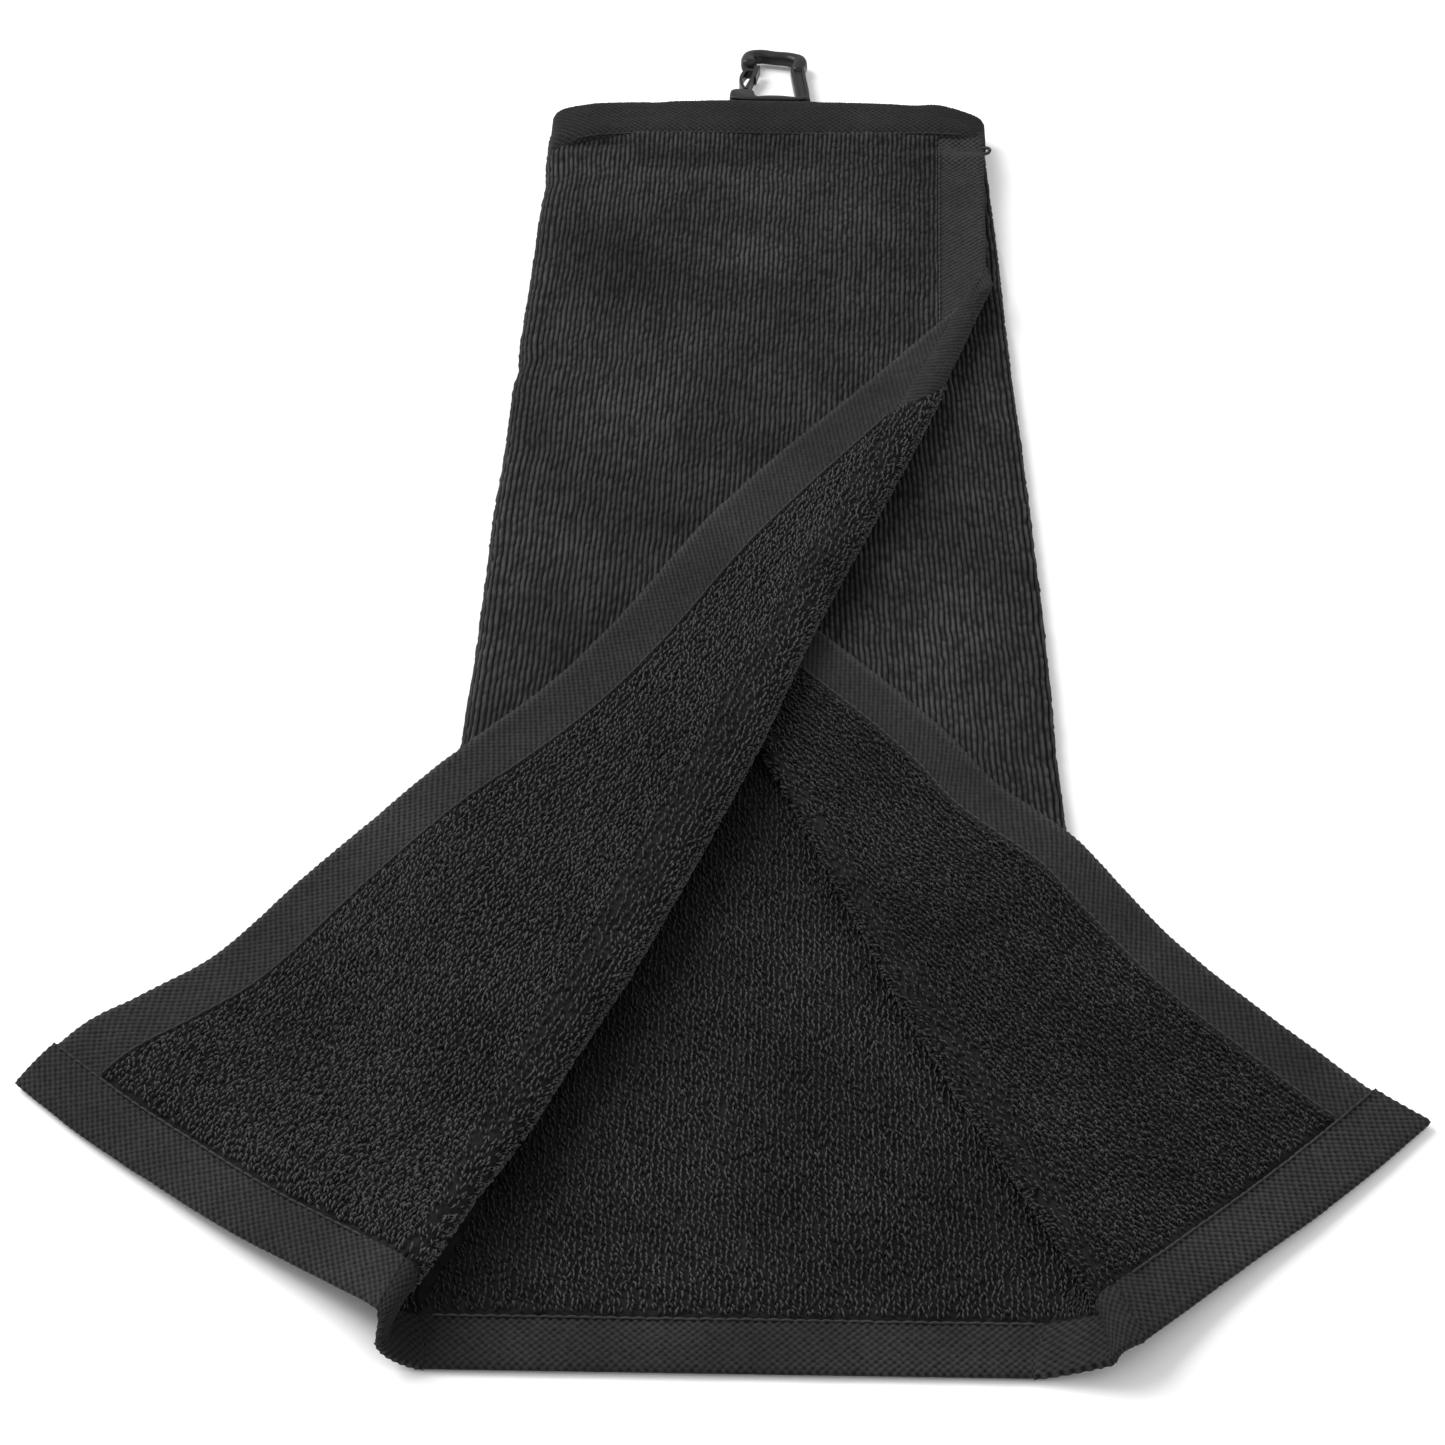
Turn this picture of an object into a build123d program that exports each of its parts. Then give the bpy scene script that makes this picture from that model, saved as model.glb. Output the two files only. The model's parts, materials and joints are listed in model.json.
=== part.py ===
from build123d import *
import os

os.makedirs("parts", exist_ok=True)

# A three-panel golf towel lying on its back, hook end at +Y. The centre panel is on the
# floor, the right flap is folded over it and the left flap over both. The lower part of
# each flap is turned back along a diagonal crease, and lies outwards as a lapel.
# Origin: centre of the centre panel's underside. All sizes are in millimetres.

# Driving dimensions of the towelling
towel_length = 533.0
folded_width = 140.0
right_flap_width = 126.0
cloth = 2.0
air = 0.5
hem_width = 15.0
top_hem_width = 17.0
seam_gap = 0.2
thread_radius = 0.3

# Undersides of the stacked layers
centre_z = 0.0
right_flap_z = cloth + air
right_tuck_z = right_flap_z + cloth + air
left_flap_z = 8.0
stack_top = left_flap_z + cloth

# How far each fold drifts outwards between the end hem and the bottom edge
left_splay = 10.0
right_splay = 15.0

# Diagonal creases, as (x from the middle, y from the bottom edge)
left_crease_bottom = (-79.0, 0.0)
left_crease_top = (68.0, 426.0)
right_crease_bottom = (88.0, 0.0)
right_crease_top = (-51.0, 343.0)
left_roll_radius = 2.25
right_roll_radius = 1.5
crease_gap = 1.0
left_fold_start_y = 14.0
right_fold_start_y = 16.0

# Lapel corners, measured from the middle and from the bottom edge
left_corner = (-175.0, 86.0)
right_corner = (161.0, 82.0)
corner_z = 0.3
left_drape_x = -82.0
right_drape_x = 87.0
pinned_y = 205.0

# Hook and loop
webbing_width = 18.0
webbing = 1.2
bar_radius = 1.6
bar_clearance = 0.05
bar_reach = 5.0
bar_z = 2.9
eye_length = 8.4
eye_half_width = 11.0
arm_radius = 1.7
bow_radius = 2.5
nose_radius = 2.7
spine_width = 4.6
spine_depth = 4.0
recess_depth = 0.8
recess_width = 2.4
base_depth = 4.0
gate_depth = 3.2
gate_slot = 2.2
gate_root_depth = 2.0
gate_pin_radius = 0.8
gate_pin_clearance = 0.05
gate_eye_radius = 1.5
leaf_width = 1.1

half_length = towel_length / 2
half_width = folded_width / 2
left_fold_radius = stack_top / 2
right_fold_radius = (right_flap_z + cloth) / 2
top_hem_y = towel_length - top_hem_width
left_axis_z = left_flap_z + cloth / 2 + left_roll_radius
right_axis_z = right_flap_z + cloth / 2 + right_roll_radius
left_lapel_z = left_axis_z + left_roll_radius - cloth / 2
right_lapel_z = right_axis_z + right_roll_radius - cloth / 2


def finish(solid, name):
    """Labels a finished piece and writes its STEP file."""
    solid.label = name
    export_step(solid, f"parts/{name}.step")


# Plan geometry: points are (x, y) with y measured up from the bottom edge


def from_bottom(points):
    """Shifts plan points from the bottom edge to the part's origin."""
    return [(x, y - half_length) for x, y in points]


def meet(line_a, line_b):
    """Point where two plan lines, each given by two points, cross."""
    (x1, y1), (x2, y2) = line_a
    (x3, y3), (x4, y4) = line_b
    across = (x1 - x2) * (y3 - y4) - (y1 - y2) * (x3 - x4)
    first = x1 * y2 - y1 * x2
    second = x3 * y4 - y3 * x4
    x = (first * (x3 - x4) - (x1 - x2) * second) / across
    y = (first * (y3 - y4) - (y1 - y2) * second) / across
    return (x, y)


def beside(line, distance):
    """The line moved sideways, to the left of its own direction for a positive distance."""
    (x1, y1), (x2, y2) = line
    way = Vector(x2 - x1, y2 - y1).normalized() * distance
    return ((x1 - way.Y, y1 + way.X), (x2 - way.Y, y2 + way.X))


def level(y):
    """A line across the towel at a height above the bottom edge."""
    return ((0.0, y), (1.0, y))


def upright(x):
    """A line along the towel at a distance from its middle."""
    return ((x, 0.0), (x, 1.0))


left_edge = ((-half_width - left_splay, 0.0), (-half_width, towel_length))
right_edge = ((half_width + right_splay, 0.0), (half_width, towel_length))
left_axis = (left_crease_bottom, left_crease_top)
right_axis = (right_crease_bottom, right_crease_top)
left_crease = beside(left_axis, crease_gap)
right_crease = beside(right_axis, -crease_gap)
left_free = (left_corner, left_axis[1])
left_free_inner = beside(left_free, -hem_width)
left_bottom = (left_corner, left_axis[0])
left_bottom_inner = beside(left_bottom, hem_width)
right_free = (right_corner, right_axis[1])
right_free_inner = beside(right_free, hem_width)
right_bottom = (right_corner, right_axis[0])
right_bottom_inner = beside(right_bottom, -hem_width)


# Cloth pieces


def flat_piece(name, outline, bottom, thickness=cloth):
    """A flat piece of towelling with the given outline."""
    with BuildPart() as piece:
        with BuildSketch(Plane.XY.offset(bottom)):
            with BuildLine():
                Polyline(*from_bottom(outline), close=True)
            make_face()
        extrude(amount=thickness)
    finish(piece.part, name)


def drape(side, x):
    """Underside height of a lapel: level over the towel, then sloping down to its corner."""
    if side == "left":
        start_x, start_z, end_x = left_drape_x, left_lapel_z, left_corner[0]
    else:
        start_x, start_z, end_x = right_drape_x, right_lapel_z, right_corner[0]
    share = min(max((x - start_x) / (end_x - start_x), 0.0), 1.0)
    return start_z + share * (corner_z - start_z)


def draped_piece(name, outline, side):
    """A lapel piece: a bent sheet cut to the outline."""
    bend_x = left_drape_x if side == "left" else right_drape_x
    end_x = left_corner[0] if side == "left" else right_corner[0]
    stations = [-bend_x, bend_x, end_x]
    under = [(x, drape(side, x)) for x in stations]
    over = [(x, drape(side, x) + cloth) for x in reversed(stations)]
    with BuildPart() as piece:
        with BuildSketch(Plane.XZ):
            with BuildLine():
                Polyline(*under, *over, close=True)
            make_face()
        extrude(amount=towel_length / 2, both=True)
        with BuildSketch(Plane.XY):
            with BuildLine():
                Polyline(*from_bottom(outline), close=True)
            make_face()
        extrude(amount=2 * stack_top, mode=Mode.INTERSECT)
    finish(piece.part, name)


def half_tube(name, axis, axis_z, radius, ends, side):
    """Cloth bent round a level axis: half a tube that bulges to one side, 1 right or -1 left."""
    start = meet(axis, level(ends[0]))
    end = meet(axis, level(ends[1]))
    way = Vector(end[0] - start[0], end[1] - start[1], 0)
    outward = way.normalized().cross(Vector(0, 0, side))
    foot = Vector(start[0], start[1] - half_length, axis_z)
    outer = radius + cloth / 2
    with BuildPart() as bend:
        with BuildSketch(Plane(origin=foot, x_dir=outward, z_dir=way)):
            Circle(outer)
            Circle(radius - cloth / 2, mode=Mode.SUBTRACT)
            with Locations((-outer, 0)):
                Rectangle(2 * outer, 2 * outer, mode=Mode.SUBTRACT)
        extrude(amount=way.length)
    finish(bend.part, name)


def seam(name, points):
    """A line of sewing thread through points (x, y, z), y from the bottom edge."""
    with BuildPart() as thread:
        with BuildLine() as path:
            Polyline(*[(x, y - half_length, z) for x, y, z in points])
        with BuildSketch(Plane(origin=path.line @ 0, z_dir=path.line % 0)):
            Circle(thread_radius)
        sweep(transition=Transition.RIGHT)
    finish(thread.part, name)


def lapel_seam(name, side, line, bend_x):
    """Thread lying on a lapel along a plan line, following its drape."""
    start, end = line
    stops = [start, meet(line, upright(bend_x)), end]
    lift = cloth + thread_radius + seam_gap / 2
    seam(name, [(x, y, drape(side, x) + lift) for x, y in stops])


def strip(edge, near, far, end_y, start=None):
    """Outline between two distances in from a long edge, from a start line up to end_y."""
    start = start or level(0.0)
    inwards = -1 if edge is left_edge else 1
    near_line = beside(edge, inwards * near)
    far_line = beside(edge, inwards * far)
    top = level(end_y)
    return [
        meet(near_line, top),
        meet(near_line, start),
        meet(far_line, start),
        meet(far_line, top),
    ]


# The three stacked panels and their side hems; each ends at its crease or at a hem
top_end = top_hem_y - seam_gap
left_flat = left_fold_radius + seam_gap
right_flat = right_fold_radius + seam_gap
left_panel_side = beside(left_edge, -left_flat)
right_panel_side = beside(right_edge, right_flat)
panel_bottom = level(hem_width + seam_gap)
flat_piece(
    "centre_panel",
    [
        meet(left_panel_side, level(top_end)),
        meet(left_panel_side, panel_bottom),
        meet(right_panel_side, panel_bottom),
        meet(right_panel_side, level(top_end)),
    ],
    centre_z,
)
flat_piece(
    "bottom_hem",
    [
        meet(left_panel_side, level(hem_width)),
        meet(left_panel_side, level(0.0)),
        meet(right_panel_side, level(0.0)),
        meet(right_panel_side, level(hem_width)),
    ],
    centre_z,
)
right_hem_start = right_flap_width - hem_width
flat_piece(
    "right_flap",
    strip(right_edge, right_flat, right_hem_start - seam_gap, top_end, right_crease),
    right_flap_z,
)
flat_piece(
    "right_side_hem",
    strip(right_edge, right_hem_start, right_flap_width, top_end, right_crease),
    right_flap_z,
)
left_hem_start = folded_width - hem_width
flat_piece(
    "left_flap",
    strip(left_edge, left_flat, left_hem_start - seam_gap, top_end, left_crease),
    left_flap_z,
)
flat_piece(
    "left_side_hem",
    strip(left_edge, left_hem_start, folded_width, top_end, left_crease),
    left_flap_z,
)

# The turned-back part of the right flap that the left flap pins down
pinned = level(pinned_y + crease_gap)
flat_piece(
    "right_flap_tuck",
    [
        meet(right_crease, beside(right_free_inner, seam_gap)),
        meet(right_crease, pinned),
        meet(pinned, beside(right_free_inner, seam_gap)),
    ],
    right_tuck_z,
)
flat_piece(
    "right_tuck_hem",
    [
        meet(right_crease, right_free),
        meet(right_crease, right_free_inner),
        meet(pinned, right_free_inner),
        meet(pinned, right_free),
    ],
    right_tuck_z,
)

# Cloth bent round the long folds and round the diagonal creases
half_tube(
    "left_fold",
    beside(left_edge, -left_fold_radius),
    left_fold_radius,
    left_fold_radius - cloth / 2,
    (left_fold_start_y, top_end),
    -1,
)
half_tube(
    "right_fold",
    beside(right_edge, right_fold_radius),
    right_fold_radius,
    right_fold_radius - cloth / 2,
    (right_fold_start_y, top_end),
    1,
)
half_tube(
    "left_roll", left_axis, left_axis_z, left_roll_radius, (0.0, left_crease_top[1]), 1
)
half_tube(
    "right_roll", right_axis, right_axis_z, right_roll_radius, (0.0, right_crease_top[1]), -1
)

# Left lapel: its towelling, the side hem along its free edge and the bottom hem
draped_piece(
    "left_lapel",
    [
        meet(left_crease, beside(left_free_inner, -seam_gap)),
        meet(left_crease, beside(left_bottom_inner, seam_gap)),
        meet(beside(left_bottom_inner, seam_gap), beside(left_free_inner, -seam_gap)),
    ],
    "left",
)
draped_piece(
    "left_lapel_side_hem",
    [
        meet(left_crease, left_free),
        meet(left_crease, left_free_inner),
        meet(beside(left_bottom_inner, seam_gap), left_free_inner),
        meet(beside(left_bottom_inner, seam_gap), left_free),
    ],
    "left",
)
draped_piece(
    "left_lapel_bottom_hem",
    [
        left_corner,
        meet(left_crease, left_bottom),
        meet(left_crease, left_bottom_inner),
        meet(left_free, left_bottom_inner),
    ],
    "left",
)

# Right lapel: the same three pieces below the pinned part
loose = level(pinned_y)
draped_piece(
    "right_lapel",
    [
        meet(right_crease, loose),
        meet(right_crease, beside(right_bottom_inner, -seam_gap)),
        meet(beside(right_bottom_inner, -seam_gap), beside(right_free_inner, seam_gap)),
        meet(loose, beside(right_free_inner, seam_gap)),
    ],
    "right",
)
draped_piece(
    "right_lapel_side_hem",
    [
        meet(loose, right_free_inner),
        meet(beside(right_bottom_inner, -seam_gap), right_free_inner),
        meet(beside(right_bottom_inner, -seam_gap), right_free),
        meet(loose, right_free),
    ],
    "right",
)
draped_piece(
    "right_lapel_bottom_hem",
    [
        right_corner,
        meet(right_free, right_bottom_inner),
        meet(right_crease, right_bottom_inner),
        meet(right_crease, right_bottom),
    ],
    "right",
)

# The end hem sews all three layers together across the top
with BuildPart() as top_hem:
    with BuildSketch(Plane.XY):
        with Locations((0, half_length - top_hem_width / 2)):
            Rectangle(folded_width, top_hem_width)
    extrude(amount=stack_top)
    fillet(top_hem.faces().sort_by(Axis.Z)[-1].edges(), radius=cloth)
finish(top_hem.part, "top_hem")

# Lines of sewing thread, each lying on the cloth it holds
on_stack = stack_top + thread_radius + seam_gap / 2
on_centre = cloth + thread_radius + seam_gap / 2
inset = 2.0
left_seam_x = left_fold_radius - half_width + inset
seam(
    "top_hem_stitching",
    [(left_seam_x, top_hem_y + inset, on_stack), (-left_seam_x, top_hem_y + inset, on_stack)],
)
seam(
    "through_stitching",
    [
        (left_seam_x, top_hem_y - 3 * inset, on_stack),
        (half_width - inset, top_hem_y - 3 * inset, on_stack),
    ],
)
seam(
    "bottom_hem_stitching",
    [
        (left_seam_x, hem_width - inset, on_centre),
        (-left_seam_x, hem_width - inset, on_centre),
    ],
)
left_side_seam = beside(left_edge, -(left_hem_start + inset))
seam(
    "left_side_stitching",
    [
        (*meet(left_side_seam, level(top_hem_y - 4 * inset)), on_stack),
        (*meet(left_side_seam, beside(left_crease, 2 * inset)), on_stack),
    ],
)
left_free_seam = beside(left_free, -(hem_width - inset))
left_bottom_seam = beside(left_bottom, hem_width - inset)
lapel_seam(
    "left_lapel_side_stitching",
    "left",
    (
        meet(left_free_seam, beside(left_bottom_inner, inset)),
        meet(left_free_seam, beside(left_crease, inset)),
    ),
    left_drape_x,
)
lapel_seam(
    "left_lapel_bottom_stitching",
    "left",
    (
        meet(left_bottom_seam, beside(left_free, -inset)),
        meet(left_bottom_seam, beside(left_crease, inset)),
    ),
    left_drape_x,
)
right_free_seam = beside(right_free, hem_width - inset)
right_bottom_seam = beside(right_bottom, -(hem_width - inset))
lapel_seam(
    "right_lapel_side_stitching",
    "right",
    (
        meet(right_free_seam, beside(right_bottom_inner, -inset)),
        meet(right_free_seam, beside(loose, -inset)),
    ),
    right_drape_x,
)
lapel_seam(
    "right_lapel_bottom_stitching",
    "right",
    (
        meet(right_bottom_seam, beside(right_free, inset)),
        meet(right_bottom_seam, beside(right_crease, -inset)),
    ),
    right_drape_x,
)

# Webbing loop: a hairpin round the hook's strap bar, sewn into the end hem
bar_y = half_length + bar_reach
inner_turn = bar_radius + bar_clearance
outer_turn = inner_turn + webbing
with BuildPart() as hanging_loop:
    with BuildSketch(Plane.YZ.offset(-webbing_width / 2)):
        with Locations((bar_y, bar_z)):
            Circle(outer_turn)
        with Locations((half_length + bar_reach / 2 + seam_gap / 2, bar_z)):
            Rectangle(bar_reach - seam_gap, 2 * outer_turn)
        with Locations((bar_y, bar_z)):
            Circle(inner_turn, mode=Mode.SUBTRACT)
        with Locations((half_length + bar_reach / 2 + seam_gap / 2, bar_z)):
            Rectangle(bar_reach - seam_gap, 2 * inner_turn, mode=Mode.SUBTRACT)
    extrude(amount=webbing_width)
finish(hanging_loop.part, "hanging_loop")

# Hook: strap eye, base, spine with a recessed web, and the bow that ends in a nose.
# Hook plan points are (x across, v along) from the middle of the strap bar.
hook_plane = Plane(origin=(0, bar_y, bar_z), x_dir=(1, 0, 0), z_dir=(0, 0, 1))
spine_foot = (11.0, eye_length)
spine_head = (9.2, 27.0)
recess_foot = (10.7, 11.5)
recess_head = (9.5, 23.5)
gate_root = (-7.8, 10.4)
base_outline = [(-13.2, 6.4), (12.9, 6.4), (13.3, 10.4), (-4.6, 10.4), (-5.4, 12.4), (-12.6, 12.4)]
base_corner_radius = 0.8
bow_points = [(9.4, 26.0), (10.6, 28.6), (7.6, 32.0), (-3.8, 35.6), (-7.3, 32.8), (-6.7, 30.4)]
slot_low = (-10.2, 8.6)
slot_high = (-3.5, 13.0)

with BuildPart() as hook_frame:
    with BuildSketch(Plane.YZ.offset(-eye_half_width)):
        with Locations((bar_y, bar_z)):
            Circle(bar_radius)
    extrude(amount=2 * eye_half_width)
    with BuildSketch(Plane.XZ.offset(-bar_y)):
        with Locations((-eye_half_width, bar_z), (eye_half_width, bar_z)):
            Circle(arm_radius)
    extrude(amount=-eye_length)
    with Locations((-eye_half_width, bar_y, bar_z), (eye_half_width, bar_y, bar_z)):
        Sphere(arm_radius)
    with BuildSketch(hook_plane.offset(-base_depth / 2)) as base:
        with BuildLine():
            Polyline(*base_outline, close=True)
        make_face()
        fillet(base.vertices(), radius=base_corner_radius)
    extrude(amount=base_depth)
    with BuildSketch(hook_plane.offset(-spine_depth / 2)):
        with BuildLine():
            Line(spine_foot, spine_head)
        trace(line_width=spine_width)
    extrude(amount=spine_depth)
    for face_z, inward in ((spine_depth / 2, -1), (-spine_depth / 2, 1)):
        with BuildSketch(hook_plane.offset(face_z)):
            with BuildLine():
                Line(recess_foot, recess_head)
            trace(line_width=recess_width)
        extrude(amount=inward * recess_depth, mode=Mode.SUBTRACT)
    with BuildLine(hook_plane) as bow:
        Spline(*bow_points)
    with BuildSketch(Plane(origin=bow.line @ 0, z_dir=bow.line % 0)):
        Circle(bow_radius)
    sweep()
    with Locations(bow.line @ 1):
        Sphere(nose_radius)
    with BuildSketch(hook_plane.offset(-gate_slot / 2)):
        with BuildLine():
            Polyline(
                slot_low,
                (slot_high[0], slot_low[1]),
                slot_high,
                (slot_low[0], slot_high[1]),
                close=True,
            )
        make_face()
    extrude(amount=gate_slot, mode=Mode.SUBTRACT)
    with BuildSketch(hook_plane.offset(-base_depth / 2)):
        with Locations(gate_root):
            Circle(gate_pin_radius)
    extrude(amount=base_depth, mode=Mode.SUBTRACT)
finish(hook_frame.part, "hook_frame")

with BuildPart() as gate_pin:
    with BuildSketch(hook_plane.offset(-base_depth / 2)):
        with Locations(gate_root):
            Circle(gate_pin_radius)
    extrude(amount=base_depth)
finish(gate_pin.part, "gate_pin")

# Gate: a bowed outer leaf and a straight inner leaf, joined at the pivot eye and at the
# tip block, which closes against the inside of the bow's nose
leaf_foot = (-8.2, 13.8)
leaf_middle = (-9.5, 20.0)
leaf_tip = (-7.3, 26.6)
strip_foot = (-7.6, 13.8)
strip_head = (-5.4, 22.0)
block_outline = [(-6.1, 21.6), (-4.5, 21.2), (-3.2, 28.4), (-4.1, 28.8), (-5.0, 27.3), (-5.7, 24.0)]
bridge = [(-7.5, 26.0), (-4.6, 25.6)]

with BuildPart() as hook_gate:
    with BuildSketch(hook_plane.offset(-gate_root_depth / 2)):
        with Locations(gate_root):
            Circle(gate_eye_radius)
        with BuildLine():
            Line(gate_root, ((leaf_foot[0] + strip_foot[0]) / 2, leaf_foot[1] + leaf_width))
        trace(line_width=2 * leaf_width)
    extrude(amount=gate_root_depth)
    with BuildSketch(hook_plane.offset(-gate_depth / 2)):
        with BuildLine():
            ThreePointArc(leaf_foot, leaf_middle, leaf_tip)
        trace(line_width=leaf_width)
        with BuildLine():
            Line(strip_foot, strip_head)
        trace(line_width=leaf_width)
        with BuildLine():
            Line(*bridge)
        trace(line_width=leaf_width)
        with BuildLine():
            Polyline(*block_outline, close=True)
        make_face()
    extrude(amount=gate_depth)
    with BuildSketch(hook_plane.offset(-gate_root_depth / 2)):
        with Locations(gate_root):
            Circle(gate_pin_radius + gate_pin_clearance)
    extrude(amount=gate_root_depth, mode=Mode.SUBTRACT)
finish(hook_gate.part, "hook_gate")

# Bar tack: a row of stitches that closes the loop just outside the end hem
tack_length = 2.0
tack_pitch = 2.0
tack_count = 7
tack_start = 0.4
with BuildPart() as loop_stitching:
    with BuildSketch(Plane.XZ.offset(-(half_length + tack_start))):
        with Locations((0, bar_z + outer_turn + thread_radius + seam_gap / 2)):
            with GridLocations(tack_pitch, tack_pitch, tack_count, 1):
                Circle(thread_radius)
    extrude(amount=-tack_length)
finish(loop_stitching.part, "loop_stitching")
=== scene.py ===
import bpy
import json
import math
import numpy as np
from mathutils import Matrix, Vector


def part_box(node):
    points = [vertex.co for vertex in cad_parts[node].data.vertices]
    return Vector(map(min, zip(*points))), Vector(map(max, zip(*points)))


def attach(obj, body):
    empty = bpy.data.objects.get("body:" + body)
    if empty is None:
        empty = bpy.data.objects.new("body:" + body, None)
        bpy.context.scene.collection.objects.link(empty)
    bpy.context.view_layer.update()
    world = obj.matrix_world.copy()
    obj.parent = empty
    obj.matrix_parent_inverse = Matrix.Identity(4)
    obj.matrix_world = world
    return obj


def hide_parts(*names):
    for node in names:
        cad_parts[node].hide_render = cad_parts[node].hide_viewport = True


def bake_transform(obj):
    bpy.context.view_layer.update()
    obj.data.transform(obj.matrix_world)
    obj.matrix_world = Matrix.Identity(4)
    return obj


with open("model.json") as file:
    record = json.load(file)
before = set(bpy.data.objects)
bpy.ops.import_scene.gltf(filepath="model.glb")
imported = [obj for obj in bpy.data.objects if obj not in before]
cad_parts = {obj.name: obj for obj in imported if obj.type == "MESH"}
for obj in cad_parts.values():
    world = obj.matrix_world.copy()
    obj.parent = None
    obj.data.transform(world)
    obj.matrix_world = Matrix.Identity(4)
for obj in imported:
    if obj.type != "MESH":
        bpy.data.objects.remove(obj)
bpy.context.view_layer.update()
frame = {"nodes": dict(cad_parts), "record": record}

# Cloth is built in millimetres, with y measured from the towel's bottom edge. Every piece is a
# closed sheet round a curved middle surface: one side carries terry loops, the other velour
# cords. Hems are woven on both sides.

HALF_LENGTH = -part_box("bottom_hem")[0].y * 1000
TOP_HEM_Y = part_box("top_hem")[0].y * 1000 + HALF_LENGTH
HEM = 15.0  # width of a woven hem
SEAM = HEM - 0.5  # its row of stitches, from the free edge
GROOVE = 0.7  # bare ground between a hem and the first loops
HALF_CLOTH = 0.8  # half the thickness of the towelling under its loops and cords
HEM_HALF = 0.95  # half the thickness of a hem
RIB = 1.5  # pitch of the velour cords
FINE = 1.0
LOOP_PITCH = 1.4 * FINE
FOLD_ARC = 16.0  # length of cloth round a fold or a roll
WHOLE = (0.0, 0.0, 1.0, 1.0)  # the bake area of a piece made of one sheet


def smooth(t):
    t = np.clip(t, 0.0, 1.0)
    return t * t * (3 - 2 * t)


def curve(x, knots):
    """A smooth line through (x, value) knots, level beyond both ends."""
    xs = np.array([k[0] for k in knots], float)
    ys = np.array([k[1] for k in knots], float)
    slopes = np.gradient(ys, xs)
    x = np.clip(x, xs[0], xs[-1])
    i = np.clip(np.searchsorted(xs, x, side="right") - 1, 0, len(xs) - 2)
    h = xs[i + 1] - xs[i]
    t = (x - xs[i]) / h
    return (
        (2 * t**3 - 3 * t**2 + 1) * ys[i]
        + (t**3 - 2 * t**2 + t) * h * slopes[i]
        + (3 * t**2 - 2 * t**3) * ys[i + 1]
        + (t**3 - t**2) * h * slopes[i + 1]
    )


def scatter(i, j, seed):
    """A repeatable value between 0 and 1 for each pair of whole numbers."""
    i, j = np.asarray(i, np.int64), np.asarray(j, np.int64)
    n = (i * 374761393 + j * 668265263 + seed * 144665) & 0x7FFFFFFF
    n = ((n ^ (n >> 13)) * 1274126177) & 0x7FFFFFFF
    n = n ^ (n >> 16)
    return (n & 0xFFFFFF) / float(0x1000000)


def noise(x, y, seed):
    """Smooth noise between -1 and 1, with features one unit apart."""
    x, y = np.broadcast_arrays(np.asarray(x, float), np.asarray(y, float))
    i, j = np.floor(x), np.floor(y)
    u, v = smooth(x - i), smooth(y - j)
    low = scatter(i, j, seed) * (1 - u) + scatter(i + 1, j, seed) * u
    high = scatter(i, j + 1, seed) * (1 - u) + scatter(i + 1, j + 1, seed) * u
    return 2 * (low * (1 - v) + high * v) - 1


def bezier(q, p0, p1, p2, p3):
    r = 1 - q
    return r**3 * p0 + 3 * r * r * q * p1 + 3 * r * q * q * p2 + q**3 * p3


def point(x, y, z):
    return np.stack(np.broadcast_arrays(x, y, z), -1).astype(float)


def bump(x, centre, width):
    return np.exp(-(((x - centre) / width) ** 2))


# Surface relief: height in millimetres above the middle surface, and shade from 0 in the
# hollows, where the pile shadows itself, to 1 on the crests


def relief(height, shade):
    return np.stack(np.broadcast_arrays(height, np.clip(shade, 0, 1)), -1)


def cords(a, b, seed=1):
    """Velour cords: rounded ridges along b, each a chain of small tufts."""
    a = a + 0.22 * noise(a / 9, b / 8, seed) + 0.14 * noise(a / 3, b / 3.5, seed + 3)
    k = np.floor(a / RIB)
    across = np.abs(np.sin(math.pi * a / RIB))
    tuft = noise(k * 3.7, b / 1.5 + 11 * scatter(k, 0 * k, seed), seed + 1)
    fibre = noise(a / 0.5, b / 0.7, seed + 2)
    height = 0.95 * across**0.8 * (0.78 + 0.28 * tuft) + 0.12 * fibre
    return relief(height, smooth((across - 0.22) / 0.74) * (0.76 + 0.42 * tuft + 0.2 * fibre))


def weave(a, b, seed=3):
    """Flat hem cloth: rows of small raised crossings."""
    pitch = 2.0
    a = a + 0.12 * noise(a / 7, b / 5, seed + 2)
    cross = np.cos(2 * math.pi * a / pitch) * np.cos(2 * math.pi * b / pitch)
    grit = noise(a / 0.5, b / 0.5, seed)
    height = 0.17 * cross + 0.07 * grit + 0.15 * noise(a / 6, b / 6, seed + 1)
    return relief(height, 0.5 + 0.5 * cross + 0.22 * grit)


def pile(a, b, seed=5):
    """The ground the terry loops stand on."""
    height = 0.2 * noise(a / 0.9, b / 0.9, seed) + 0.1 * noise(a / 2.6, b / 2.6, seed + 1) - 0.2
    return relief(height, 0.2 + 0.3 * height)


def plain(a, b):
    return relief(0.0 * a * b, 0.4)


def sunk(form, depth):
    """The same relief, lowered by a depth."""
    return relief(form[..., 0] - depth, form[..., 1])


def dimmed(form, share):
    """The same relief, with its shade scaled."""
    return relief(form[..., 0], share * form[..., 1])


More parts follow.
